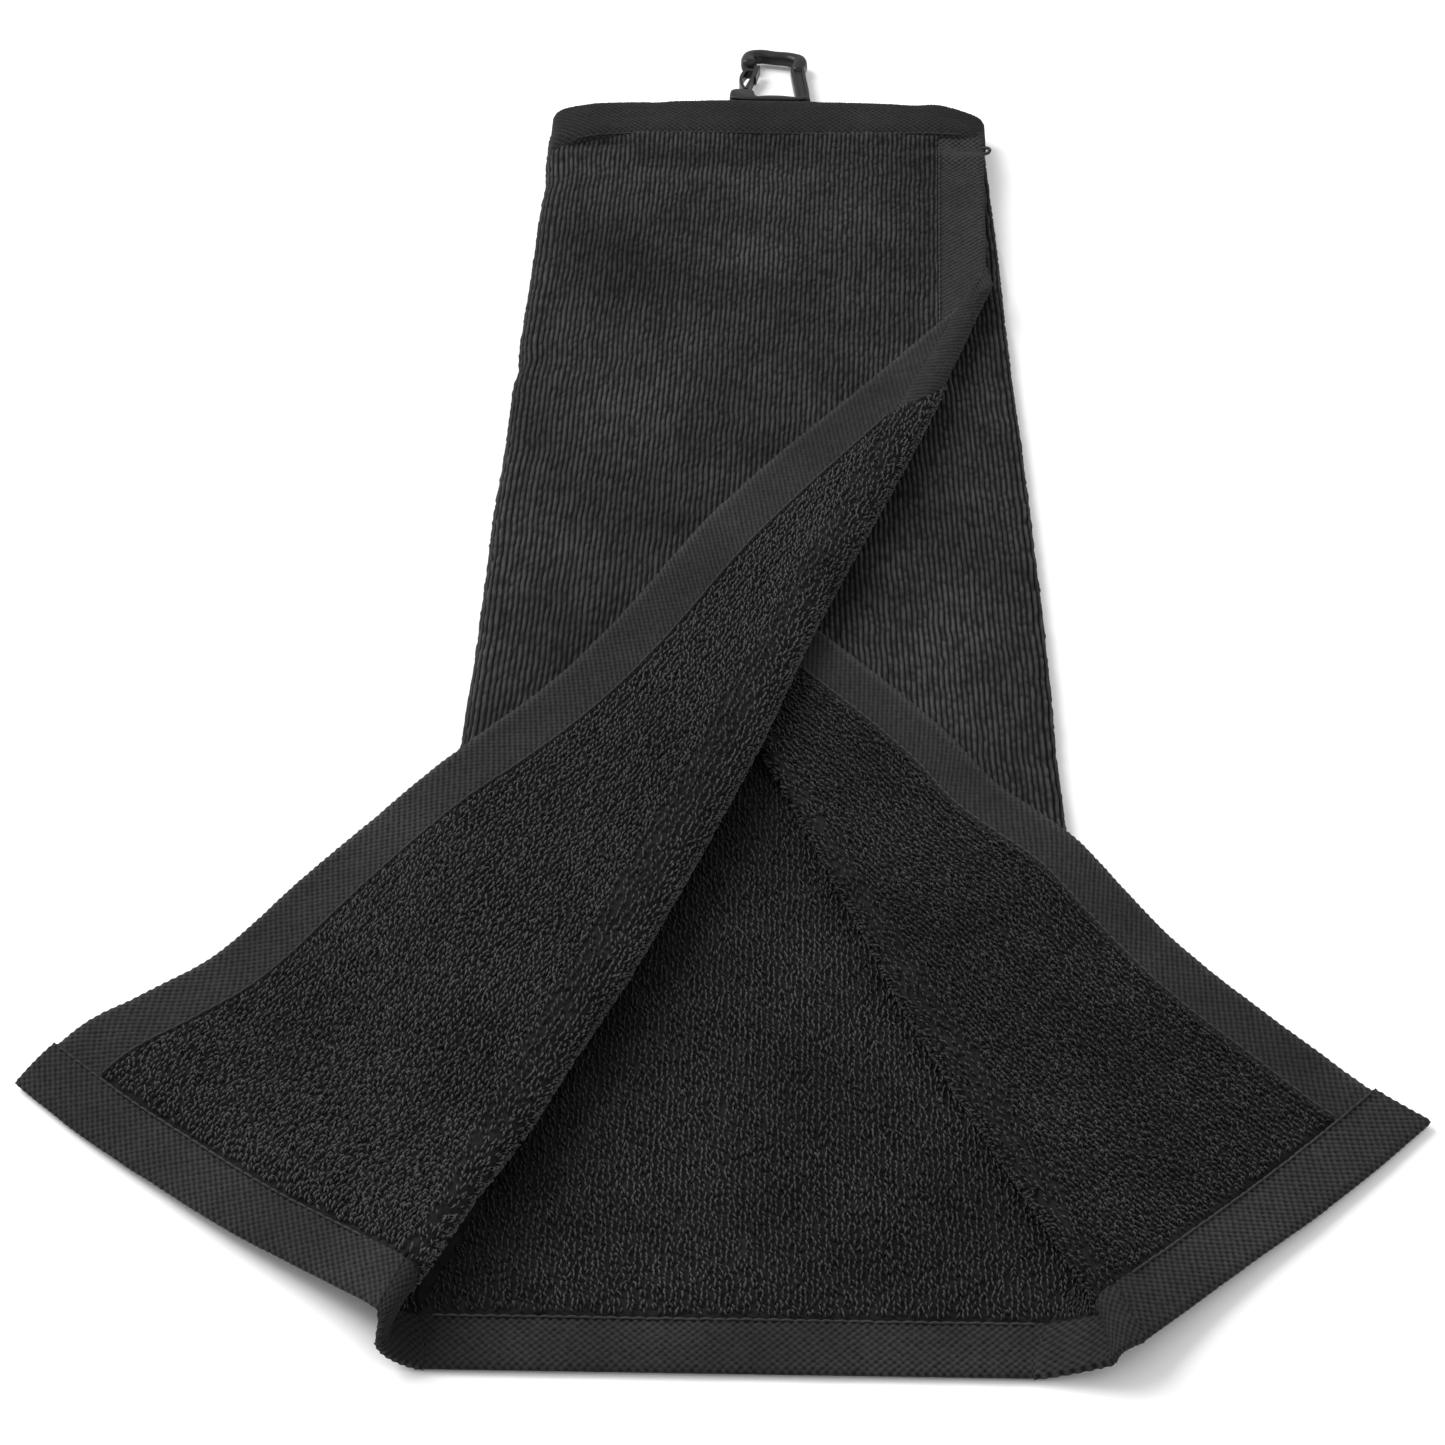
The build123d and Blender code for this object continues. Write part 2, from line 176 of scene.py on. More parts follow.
class Shell:
    """Collects the closed parts of one piece: vertices in millimetres, faces, finishes."""

    def __init__(self):
        self.verts, self.faces, self.mats, self.uvs, self.shades = [], [], [], [], []
        self.count = 0

    def add(self, verts, faces, material, uv, shade=1.0):
        """Add a closed part, turned outwards. faces: index arrays, each with one row per face."""
        verts = np.asarray(verts, float).reshape(-1, 3)
        if signed_volume(verts, faces) < 0:
            faces = [np.asarray(f)[:, ::-1] for f in faces]
        self.verts.append(verts)
        self.shades.append(np.broadcast_to(np.asarray(shade, float).ravel(), (len(verts),)))
        self.uvs.append(np.asarray(uv, float).reshape(-1, 2))
        for f in faces:
            self.faces.append(np.asarray(f, int) + self.count)
            self.mats.append(np.full(len(f), material))
        self.count += len(verts)

    def build(self, name, materials):
        verts = np.concatenate(self.verts)
        uv = np.concatenate(self.uvs)
        verts = (verts - (0, HALF_LENGTH, 0)) / 1000
        sizes = np.concatenate([np.full(len(f), f.shape[1]) for f in self.faces])
        loops = np.concatenate([f.ravel() for f in self.faces])
        mesh = bpy.data.meshes.new(name)
        mesh.vertices.add(len(verts))
        mesh.vertices.foreach_set("co", verts.ravel())
        mesh.loops.add(len(loops))
        mesh.loops.foreach_set("vertex_index", loops.astype(np.int32))
        mesh.polygons.add(len(sizes))
        starts = np.concatenate([[0], np.cumsum(sizes)[:-1]])
        mesh.polygons.foreach_set("loop_start", starts.astype(np.int32))
        mesh.polygons.foreach_set("material_index", np.concatenate(self.mats).astype(np.int32))
        layer = mesh.uv_layers.new(name="OFBake")
        layer.data.foreach_set("uv", uv[loops].ravel())
        shade = mesh.attributes.new("shade", "FLOAT", "POINT")
        shade.data.foreach_set("value", np.concatenate(self.shades).astype(np.float32))
        mesh.update(calc_edges=True)
        mesh.validate()
        mesh.shade_smooth()
        for m in materials:
            mesh.materials.append(m)
        obj = bpy.data.objects.new(name, mesh)
        bpy.context.scene.collection.objects.link(obj)
        return obj


def normals(points):
    """Unit normals of a grid of points."""
    du = np.gradient(points, axis=1)
    dv = np.gradient(points, axis=0)
    n = np.cross(du, dv)
    return n / np.maximum(np.linalg.norm(n, axis=-1, keepdims=True), 1e-9)


def lattice(shape):
    k = np.arange(shape[0] * shape[1]).reshape(shape)
    return np.stack([k[:-1, :-1], k[:-1, 1:], k[1:, 1:], k[1:, :-1]], -1).reshape(-1, 4)


def slab(shell, upper, lower, material=0, stride=1, uv_box=WHOLE, shades=(1.0, 1.0)):
    """A closed sheet between two grids of points. The lower side may be coarser."""
    shades = [np.broadcast_to(f, g.shape[:2]) for f, g in zip(shades, (upper, lower))]
    rows, cols = upper.shape[:2]
    pick_r = sorted(set(range(0, rows, stride)) | {rows - 1})
    pick_c = sorted(set(range(0, cols, stride)) | {cols - 1})
    lower = lower[np.ix_(pick_r, pick_c)]
    shades[1] = shades[1][np.ix_(pick_r, pick_c)]
    top_faces = lattice((rows, cols))
    low_faces = lattice(lower.shape[:2])[:, ::-1] + rows * cols
    up = np.arange(rows * cols).reshape(rows, cols)
    down = rows * cols + np.arange(lower.shape[0] * lower.shape[1]).reshape(lower.shape[:2])
    walls = {}

    def wall(top, bottom):
        loop = list(top[::-1]) + list(bottom)
        walls.setdefault(len(loop), []).append(loop)

    for i in range(len(pick_r) - 1):
        span = slice(pick_r[i], pick_r[i + 1] + 1)
        wall(up[span, 0][::-1], down[i : i + 2, 0][::-1])
        wall(up[span, -1], down[i : i + 2, -1])
    for j in range(len(pick_c) - 1):
        span = slice(pick_c[j], pick_c[j + 1] + 1)
        wall(up[0, span], down[0, j : j + 2])
        wall(up[-1, span][::-1], down[-1, j : j + 2][::-1])
    x0, y0, x1, y1 = uv_box
    middle = (x0 + x1) / 2

    def sheet_uv(r, c, left, right):
        v, u = np.meshgrid(np.linspace(0.01, 0.99, r), np.linspace(0.02, 0.98, c), indexing="ij")
        return np.stack([left + (right - left) * u, y0 + (y1 - y0) * v], -1).reshape(-1, 2)

    uv = np.concatenate([sheet_uv(rows, cols, x0, middle), sheet_uv(*lower.shape[:2], middle, x1)])
    verts = np.concatenate([upper.reshape(-1, 3), lower.reshape(-1, 3)])
    faces = [top_faces, low_faces, *walls.values()]
    shell.add(verts, faces, material, uv, np.concatenate([f.ravel() for f in shades]))


def signed_volume(verts, faces):
    total = 0.0
    for f in faces:
        f = np.asarray(f)
        for k in range(1, f.shape[1] - 1):
            a, b, c = verts[f[:, 0]], verts[f[:, k]], verts[f[:, k + 1]]
            total += np.einsum("ij,ij->i", a, np.cross(b, c)).sum()
    return total


def grid(a0, a1, step_a, low, high, step_b):
    """Grids of a and b: columns from a0 to a1, each running from low(a) to high(a)."""
    cols = max(3, int(round(abs(a1 - a0) / step_a)) + 1)
    a = np.linspace(a0, a1, cols)
    lo = np.broadcast_to(low(a) if callable(low) else low, a.shape).astype(float)
    hi = np.broadcast_to(high(a) if callable(high) else high, a.shape).astype(float)
    rows = max(3, int(round(np.max(hi - lo) / step_b)) + 1)
    t = np.linspace(0, 1, rows)[:, None]
    return np.broadcast_to(a, (rows, cols)).copy(), lo + (hi - lo) * t


LOOP_PATH = np.array([(-0.55, -0.5), (-0.42, 0.72), (0.42, 0.72), (0.55, -0.5)])
# Painted shade along each terry loop: dark at its feet, where the loops shade each other, light over
# its crown
LOOP_SHADE = (0.12, 0.85, 0.85, 0.12)


HALF_AREA = (0.0, 0.0, 0.5, 1.0)  # the bake area of loops that share a piece with their sheet


def loops(shell, surface, a, b, side, seed, tone_and_painted_light=1.0, uv_box=HALF_AREA, limits=None, mat=0):
    """Terry loops: a small closed arch of yarn at each (a, b)."""
    rng = np.random.default_rng(seed)
    n = len(a)
    step = 0.4
    here = surface(a, b)
    du = surface(a + step, b) - surface(a - step, b)
    dv = surface(a, b + step) - surface(a, b - step)
    normal = np.cross(du, dv)
    normal *= side / np.linalg.norm(normal, axis=1, keepdims=True)
    along = dv / np.linalg.norm(dv, axis=1, keepdims=True)
    across = np.cross(normal, along)
    turn = rng.normal(0.2, 0.3, n)[:, None]
    way = along * np.cos(turn) + across * np.sin(turn)
    cross = np.cross(normal, way)
    lean = rng.normal(0.0, 0.24, n)[:, None]
    tip = rng.normal(0.1, 0.2, n)[:, None]
    up = normal + cross * lean + way * tip
    up /= np.linalg.norm(up, axis=1, keepdims=True)
    height = rng.uniform(1.05, 1.55, n)[:, None]
    width = rng.uniform(0.5, 0.8, n)[:, None]
    radius = rng.uniform(0.24, 0.31, n)[:, None]
    base = here + normal * HALF_CLOTH
    rings = []
    shades = []
    # Each loop's brightness: the painted light and tone passed in, times a random tone per loop
    shine = tone_and_painted_light * rng.uniform(0.65, 1.2, n)
    last = len(LOOP_PATH) - 1
    for k, (w, h) in enumerate(LOOP_PATH):
        ahead = LOOP_PATH[min(k + 1, last)] - LOOP_PATH[max(k - 1, 0)]
        ahead = ahead / np.hypot(*ahead)
        outward = way * (-ahead[1]) + up * ahead[0]
        centre = base + way * (w * width) + up * (h * height)
        for angle in (math.pi / 2, math.pi * 7 / 6, math.pi * 11 / 6):
            rings.append(centre + radius * (cross * math.cos(angle) + outward * math.sin(angle)))
            # The two lower points of each ring get painted shade, 0.7 as light as its top
            shades.append(shine * LOOP_SHADE[k] * (1.0 if angle < 2 else 0.7))
    verts = np.stack(rings, 1)
    per = len(rings)
    faces = []
    for k in range(last):
        for m in range(3):
            i, j = 3 * k + m, 3 * k + (m + 1) % 3
            faces.append((i, j, j + 3, i + 3))
    quads = np.array(faces)
    offset = (np.arange(n) * per)[:, None, None]
    quads = (quads[None] + offset).reshape(-1, 4)
    caps = (np.array([(2, 1, 0), (per - 3, per - 2, per - 1)])[None] + offset).reshape(-1, 3)
    span_a = limits[0] if limits else (a.min(), a.max())
    span_b = limits[1] if limits else (b.min(), b.max())
    x0, y0, x1, y1 = uv_box
    u = x0 + (x1 - x0) * np.clip((a - span_a[0]) / (span_a[1] - span_a[0]), 0.02, 0.98)
    v = y0 + (y1 - y0) * np.clip((b - span_b[0]) / (span_b[1] - span_b[0]), 0.02, 0.98)
    uv = np.repeat(np.stack([u, v], -1), per, axis=0)
    spread = np.arange(per)
    uv += np.tile(np.stack([np.cos(spread), np.sin(spread)], -1) * 0.002, (n, 1))
    shell.add(verts.reshape(-1, 3), [quads, caps], mat, uv, np.stack(shades, 1))


def sprinkle(a0, a1, low, high, pitch_a, pitch_b, seed):
    """Jittered loop positions over a region whose b range depends on a."""
    rng = np.random.default_rng(seed)
    a, b = [], []
    for k in range(int((a1 - a0) / pitch_a)):
        column = a0 + (k + 0.5) * pitch_a
        lo = float(low(column)) if callable(low) else low
        hi = float(high(column)) if callable(high) else high
        count = int((hi - lo) / pitch_b)
        if count < 1:
            continue
        rows = lo + (np.arange(count) + 0.5 + 0.5 * (k % 2 - 0.5)) * (hi - lo) / count
        a.append(column + rng.uniform(-0.26, 0.26, count) * pitch_a)
        b.append(rows + rng.uniform(-0.26, 0.26, count) * pitch_b)
    a, b = np.concatenate(a), np.concatenate(b)
    inner_lo = low(a) if callable(low) else np.full_like(a, low)
    inner_hi = high(a) if callable(high) else np.full_like(a, high)
    inside = (b > inner_lo + 0.4) & (b < inner_hi - 0.4) & (a > a0 + 0.3) & (a < a1 - 0.3)
    return a[inside], b[inside]


def skin(shell, rings, shade=1.0):
    """A closed bar through a row of rings of points."""
    count, sides = rings.shape[:2]
    index = np.arange(count * sides).reshape(count, sides)
    nxt = np.roll(index, -1, axis=1)
    quads = np.stack([index[:-1], nxt[:-1], nxt[1:], index[1:]], -1).reshape(-1, 4)
    caps = np.stack([index[0][::-1], index[-1]])
    around, along = np.linspace(0.02, 0.98, sides), np.linspace(0.02, 0.98, count)
    shell.add(rings, [quads, caps], 0, np.stack(np.meshgrid(around, along), -1), shade)


def tube(shell, path, radius, sides=6, depth=None, power=1.0):
    """A closed bar along a path of points. A power below 1 squares its section."""
    path = np.asarray(path, float)
    tangent = np.gradient(path, axis=0)
    tangent /= np.linalg.norm(tangent, axis=1, keepdims=True)
    side = np.cross(tangent, np.array([0.0, 0.0, 1.0]))
    side /= np.maximum(np.linalg.norm(side, axis=1, keepdims=True), 1e-6)
    over = np.cross(side, tangent)
    angle = np.arange(sides) * 2 * math.pi / sides
    c, s = np.cos(angle), np.sin(angle)
    c, s = np.sign(c) * np.abs(c) ** power, np.sign(s) * np.abs(s) ** power
    wide = np.broadcast_to(radius, (len(path),))[:, None, None]
    deep = wide if depth is None else np.broadcast_to(depth, (len(path),))[:, None, None]
    ring = side[:, None] * wide * c[None, :, None] + over[:, None] * deep * s[None, :, None]
    skin(shell, path[:, None] + ring)


def spline(points, count):
    """Evenly spaced points on a smooth line through the given ones."""
    points = np.asarray(points, float)
    t = np.concatenate([[0], np.cumsum(np.linalg.norm(np.diff(points, axis=0), axis=1))])
    at = np.linspace(0, t[-1], count)
    return np.stack([curve(at, list(zip(t, points[:, k]))) for k in range(points.shape[1])], -1)


def stitches(name, surface, line_a, line_b, side, half, pitch=3.0, radius=0.33):
    """A run of stitches on a surface, from one (a, b) to another."""
    shell = Shell()
    rng = np.random.default_rng(len(name))
    start, end = np.array(line_a, float), np.array(line_b, float)
    length = np.hypot(*(end - start))
    count = max(1, int(length / pitch))
    eps = 0.4
    for k in range(count):
        t = (k + np.linspace(0.02, 0.98, 7)) / count
        a = start[0] + (end[0] - start[0]) * t + rng.normal(0, 0.04)
        b = start[1] + (end[1] - start[1]) * t + rng.normal(0, 0.04)
        mid = surface(a, b)
        n = np.cross(surface(a + eps, b) - mid, surface(a, b + eps) - mid)
        n *= side / np.linalg.norm(n, axis=1, keepdims=True)
        arch = np.sin(np.linspace(0, math.pi, 7))
        lift = half + 0.1 + 0.35 * arch
        tube(shell, mid + n * lift[:, None], radius * (0.75 + 0.25 * arch), 6)
    return shell.build(name, [thread])


# Finishes


def finish_nodes(name, roughness, sheen=0.0, specular=0.3):
    m = bpy.data.materials.new(name)
    m.use_nodes = True
    tree = m.node_tree
    shader = tree.nodes["Principled BSDF"]
    shader.inputs["Roughness"].default_value = roughness
    shader.inputs["Specular IOR Level"].default_value = specular
    shader.inputs["Sheen Weight"].default_value = sheen
    shader.inputs["Sheen Roughness"].default_value = 0.45
    return m, tree, shader


def noise_node(tree, scale, detail=3.0, roughness=0.6):
    coord = tree.nodes.new("ShaderNodeTexCoord")
    node = tree.nodes.new("ShaderNodeTexNoise")
    node.inputs["Scale"].default_value = scale
    node.inputs["Detail"].default_value = detail
    node.inputs["Roughness"].default_value = roughness
    tree.links.new(coord.outputs["Object"], node.inputs["Vector"])
    return node


def map_range(tree, source, low, high, start=0.0, stop=1.0):
    node = tree.nodes.new("ShaderNodeMapRange")
    node.inputs["From Min"].default_value = start
    node.inputs["From Max"].default_value = stop
    node.inputs["To Min"].default_value = low
    node.inputs["To Max"].default_value = high
    tree.links.new(source, node.inputs["Value"])
    return node.outputs[0]


def bump_node(tree, shader, source, strength, distance):
    node = tree.nodes.new("ShaderNodeBump")
    node.inputs["Strength"].default_value = strength
    node.inputs["Distance"].default_value = distance
    tree.links.new(source, node.inputs["Height"])
    tree.links.new(node.outputs["Normal"], shader.inputs["Normal"])


def ramp(tree, source, stops):
    node = tree.nodes.new("ShaderNodeValToRGB")
    elements = node.color_ramp.elements
    while len(elements) < len(stops):
        elements.new(0.5)
    for element, (position, value) in zip(elements, stops):
        element.position = position
        element.color = (value[0], value[1], value[2], 1.0)
    tree.links.new(source, node.inputs["Fac"])
    return node


def cloth_material(name, dark, light, fibre_scale, fibre_depth, sheen, cloud=0.35):
    """Dyed cotton: cloudy tone, single fibres, soft sheen. Its colour follows each piece's shade
    attribute, which carries painted shade in hollows and beside folds, and a few painted highlights.
    """
    m, tree, shader = finish_nodes(name, 0.92, sheen, 0.04)
    fibres = noise_node(tree, fibre_scale, 4.0, 0.7)
    clouds = noise_node(tree, 28.0, 3.0, 0.55)
    tone_and_painted_shade = tree.nodes.new("ShaderNodeAttribute")
    tone_and_painted_shade.attribute_name = "shade"

    def around_one(source, depth):
        return map_range(tree, source, 1.0 - depth, 1.0 + depth * 0.4, 0.3, 0.7)

    def times(first, second):
        node = tree.nodes.new("ShaderNodeMath")
        node.operation = "MULTIPLY"
        tree.links.new(first, node.inputs[0])
        tree.links.new(second, node.inputs[1])
        return node.outputs[0]

    # Colour level: the shade attribute's painted shade and light, times cloudy tone and fibres
    level = times(tone_and_painted_shade.outputs["Fac"], around_one(clouds.outputs["Fac"], cloud))
    level = times(level, around_one(fibres.outputs["Fac"], 0.3))
    colour = ramp(tree, level, [(0.0, [dark] * 3), (1.0, [light] * 3)])
    tree.links.new(colour.outputs["Color"], shader.inputs["Base Color"])
    tree.links.new(map_range(tree, fibres.outputs["Fac"], 0.82, 1.0), shader.inputs["Roughness"])
    bump_node(tree, shader, fibres.outputs["Fac"], 0.6, fibre_depth)
    return m


velour = cloth_material("velour_cords", 0.002, 0.055, 2600.0, 0.0002, 0.02, 0.5)
terry = cloth_material("terry_loops", 0.003, 0.078, 2200.0, 0.0002, 0.02)
woven = cloth_material("woven_hem", 0.006, 0.046, 3000.0, 0.00015, 0.02)
thread = cloth_material("sewing_thread", 0.010, 0.046, 3500.0, 0.0001, 0.02)


def plastic_material():
    """Moulded black nylon: faint grain, small scuffs in its colour and roughness."""
    m, tree, shader = finish_nodes("moulded_nylon", 0.35, 0.0, 0.35)
    grain = noise_node(tree, 900.0, 3.0, 0.6)
    scuffs = noise_node(tree, 160.0, 5.0, 0.7)
    colour = ramp(tree, scuffs.outputs["Fac"], [(0.35, [0.002] * 3), (0.75, [0.006] * 3)])
    tree.links.new(colour.outputs["Color"], shader.inputs["Base Color"])
    tree.links.new(map_range(tree, scuffs.outputs["Fac"], 0.24, 0.52), shader.inputs["Roughness"])
    bump_node(tree, shader, grain.outputs["Fac"], 0.25, 0.00008)
    return m


def steel_material():
    """Brushed steel pin."""
    m, tree, shader = finish_nodes("brushed_steel", 0.3, 0.0, 0.5)
    shader.inputs["Metallic"].default_value = 1.0
    marks = noise_node(tree, 2500.0, 4.0, 0.6)
    greys = [(0.3, [0.32, 0.32, 0.33]), (0.7, [0.52, 0.52, 0.53])]
    colour = ramp(tree, marks.outputs["Fac"], greys)
    tree.links.new(colour.outputs["Color"], shader.inputs["Base Color"])
    tree.links.new(map_range(tree, marks.outputs["Fac"], 0.22, 0.45), shader.inputs["Roughness"])
    return m


nylon = plastic_material()
steel = steel_material()


# Flaps and their turned-back lapels


class Lapel:
    """A flap's turned-back corner. Lapel points are (a, b): a in from the free edge, b up from
    the bottom hem. Roll points are (s, p): s along the crease from the bottom, p outwards."""

    def __init__(self, joint, sign, length, corner, hem, bow, hang):
        found = next(j for j in frame["record"]["behaviour"]["joints"] if j["name"] == joint)
        position, axis = np.array(found["pos_m"]) * 1000, np.array(found["axis"])
        self.foot = np.array([position[0], position[1] + HALF_LENGTH])
        self.e = axis[:2] * (1 if axis[1] > 0 else -1)
        self.top = self.foot + self.e * length
        self.out = sign * np.array([self.e[1], -self.e[0]])
        self.corner = np.array(corner, float)
        self.height = -(self.corner - self.foot) @ self.out
        across, along = self.foot - self.corner, self.top - self.corner
        self.width, self.length = np.hypot(*across), np.hypot(*along)
        self.h, self.f = across / self.width, along / self.length
        self.g = np.array([self.f[1], -self.f[0]])
        if self.g @ self.h < 0:
            self.g = -self.g
        self.hem = hem
        self.bow, self.hang = bow, hang
        self.cross = self.h @ self.out
        t = np.linspace(0, 1, 801)
        self.t_table, self.a_table = t, self.reach(t)

    def reach(self, t):
        """How far the lapel spreads from its free edge before it meets the roll."""
        lean = curve(t, self.bow) * (self.g @ self.out)
        return (self.height * (1 - t) - BACK - lean) / self.cross

    def crease_b(self, a):
        """Where the lapel meets the roll, for a given distance from the free edge."""
        return np.interp(-np.asarray(a, float), -self.a_table, self.t_table) * self.length

    def plan(self, a, b):
        t = b / self.length
        shift = curve(t, self.bow)
        sag = curve(a / self.width, self.hang) * (1 - smooth(b / 45))
        x = self.corner[0] + a * self.h[0] + b * self.f[0] + shift * self.g[0] + sag * self.e[0]
        y = self.corner[1] + a * self.h[1] + b * self.f[1] + shift * self.g[1] + sag * self.e[1]
        return x, y

    def roll_end(self, a):
        """Crease distance s where the line at a from the free edge reaches the roll."""
        b = float(self.crease_b(a))
        x, y = self.plan(np.array(float(a)), np.array(b))
        return float(self.sp(x, y)[0])

    def roll_xy(self, s, p):
        x = self.foot[0] + s * self.e[0] + p * self.out[0]
        y = self.foot[1] + s * self.e[1] + p * self.out[1]
        return x, y

    def sp(self, x, y):
        dx, dy = x - self.foot[0], y - self.foot[1]
        return dx * self.e[0] + dy * self.e[1], dx * self.out[0] + dy * self.out[1]


BACK = 3.2  # how far behind its crease a roll meets the flap and the lapel
left_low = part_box("left_lapel_bottom_hem")[0] * 1000
right_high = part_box("right_lapel_bottom_hem")[1] * 1000
# Sideways bow of each free edge towards the crease, along the edge from the corner
LEFT_BOW = [
    (0, 0), (0.03, -1.5), (0.06, -1.4), (0.1, 3.7), (0.14, 8.4), (0.17, 9.3), (0.2, 9.0),
    (0.235, 8.9), (0.27, 9.8), (0.33, 12.0), (0.37, 13.8), (0.43, 15.2), (0.48, 14.6), (0.52, 12.9),
    (0.55, 11.2), (0.6, 7.6), (0.64, 5.3), (0.69, 4), (0.76, 2.8), (0.9, 2.3), (1, 1.5),
]
RIGHT_BOW = [
    (0, 0), (0.04, 3.0), (0.11, 5.5), (0.18, 6.9), (0.24, 6.9), (0.3, 5.0), (0.365, 2.4),
    (0.41, 3.6), (0.45, 4.2), (0.51, 1.4), (0.57, 0.2), (0.67, 0), (1, 0),
]
# How far each bottom hem rides up along the crease, by distance from the corner
LEFT_HANG = [(0, 0), (0.2, -0.6), (0.4, 0.4), (0.56, 1.4), (0.85, 4.4), (0.93, 4.6), (1, 3.6)]
RIGHT_HANG = [(0, -2.2), (0.18, -1.9), (0.4, -0.7), (0.62, 1.4), (0.83, 2.6), (1, 2.6)]
L = Lapel("left_flap_turn", 1, 450.65, (left_low.x, 86.0), 17.0, LEFT_BOW, LEFT_HANG)
R = Lapel("right_flap_lift", -1, 370.1, (right_high.x, 82.0), HEM, RIGHT_BOW, RIGHT_HANG)
# Height of each lapel above the floor, by x
LEFT_DROP = [
    (-180, 1.1), (-157, 1.8), (-137, 3.0), (-117, 5.2), (-100, 7.4), (-90, 9.2), (-81, 10.9),
    (-72, 12.0), (-60, 12.1), (70, 12.1),
]
RIGHT_DROP = [
    (-60, 6.0), (30, 6.1), (55, 6.6), (80, 6.4), (90, 5.7), (103, 4.4), (118, 3.3), (133, 2.4),
    (150, 1.6), (165, 1.1),
]
# Extra height of the right lapel beside its crease, by distance along the crease
RIGHT_CREST = [
    (0, 2.4), (30, 2.8), (60, 3.2), (125, 3.0), (160, 2.0), (200, 0.6), (230, 0), (370, 0),
]


def left_lapel_z(x, y):
    s, p = L.sp(x, y)
    z = curve(x, LEFT_DROP)
    fade = curve(s, [(0, 1), (380, 1), (450, 0.1), (470, 0)])
    rise = 1.9 * np.exp(np.minimum(p + BACK, 0) / 8) * fade
    wave = 0.7 * noise(x / 38, y / 46, 21) * smooth((z - 1.4) / 4)
    return z + rise + wave * smooth(-(p + BACK) / 12)


def right_lapel_z(x, y):
    s, p = R.sp(x, y)
    z = curve(x, RIGHT_DROP)
    rise = curve(s, RIGHT_CREST) * np.exp(np.minimum(p + BACK, 0) / 14)
    wave = 0.5 * noise(x / 34, y / 40, 22) * smooth((z - 1.3) / 3)
    return z + rise + wave * smooth(-(p + BACK) / 12)


def left_lapel(a, b):
    x, y = L.plan(a, b)
    return point(x, y, left_lapel_z(x, y))


def right_lapel(a, b):
    x, y = R.plan(a, b)
    return point(x, y, right_lapel_z(x, y))


LENGTH = 533.0
# Each side fold at the top, and how far it has spread at the bottom
LEFT_TOP_X, LEFT_SPLAY = -69.0, 11.0
RIGHT_TOP_X, RIGHT_SPLAY = 68.6, 16.4
LEFT_WIDTH, RIGHT_WIDTH = 139.0, 126.0
LEFT_FOLD_IN, RIGHT_FOLD_IN = 4.3, 2.5  # where each flap starts, in from its side fold


def left_edge(y):
    dent = 0.9 * bump(y, 486, 9) + 0.8 * bump(y, 383, 6)
    return LEFT_TOP_X - LEFT_SPLAY * (1 - y / LENGTH) + dent + 0.5 * noise(y / 31, 0 * y, 31)


def right_edge(y):
    return RIGHT_TOP_X + RIGHT_SPLAY * (1 - y / LENGTH) + 0.5 * noise(y / 35, 0 * y, 33)


def left_flap_z(a, y):
    fade = np.exp(-np.maximum(a, 0) / 22)
    dents = (0.9 * bump(y - 0.15 * a, 486, 7) + 0.8 * bump(y - 0.1 * a, 383, 5)) * fade
    ends = smooth((np.abs(a - 70) - 36) / 16)
    pulled = ends * (0.9 * bump(y, 507, 3.5) - 0.8 * bump(y, 499.5, 3))
    puffed = (1 - ends) * (0.8 * bump(y, 511, 3) - 0.7 * bump(y, 499, 8))
    waves = 9.0 + 0.45 * noise(a / 33, y / 42, 41) + 0.2 * noise(a / 14, y / 17, 42)
    return waves - dents - pulled + puffed


def patches_and_painted_shade(a, b):
    """Shade of the flap's cords, darker in a few patches: painted shade in the troughs of the dents
    below the top hem and in the shadow beside the left lapel's hem, and one darker patch higher up.
    """
    ends = smooth((np.abs(a - 70) - 36) / 16)
    trough = (1 - ends) * 0.5 * bump(b, 499, 7) * bump(a, 44, 34) + ends * 0.35 * bump(b, 507, 4)
    low = 0.38 * bump(a - 0.2 * b, -8, 16) * bump(b, 303, 13)
    high = 0.22 * bump(a, 20, 14) * bump(b, 440, 26)
    return 1 - np.clip(trough + (low + high), 0, 0.6)


def left_flap(a, b):
    straight = LEFT_TOP_X - LEFT_SPLAY * (1 - b / LENGTH)
    shift = (left_edge(b) - straight) * np.exp(-np.maximum(a - LEFT_FOLD_IN, 0) / 15)
    return point(straight + a + shift, b, left_flap_z(a, b))


def left_flap_low(a):
    """Where the flap meets its roll."""
    slope = L.e[0] / L.e[1]
    start = LEFT_TOP_X - LEFT_SPLAY + BACK / L.e[1] - L.foot[0]
    return (a + start) / (slope - LEFT_SPLAY / LENGTH)


def right_flap_z(a, y):
    return 3.5 + 0.3 * noise(a / 30, y / 37, 43)


def right_flap(a, b):
    straight = RIGHT_TOP_X + RIGHT_SPLAY * (1 - b / LENGTH)
    shift = (right_edge(b) - straight) * np.exp(-np.maximum(a - RIGHT_FOLD_IN, 0) / 15)
    return point(straight - a + shift, b, right_flap_z(a, b))


def right_flap_low(a):
    slope = -R.e[0] / R.e[1]
    start = R.foot[0] + BACK / R.e[1] - (RIGHT_TOP_X + RIGHT_SPLAY)
    return (a + start) / (slope - RIGHT_SPLAY / LENGTH)


left_fold_top = float(left_flap_low(np.array(LEFT_FOLD_IN)))
right_fold_top = float(right_flap_low(np.array(RIGHT_FOLD_IN)))


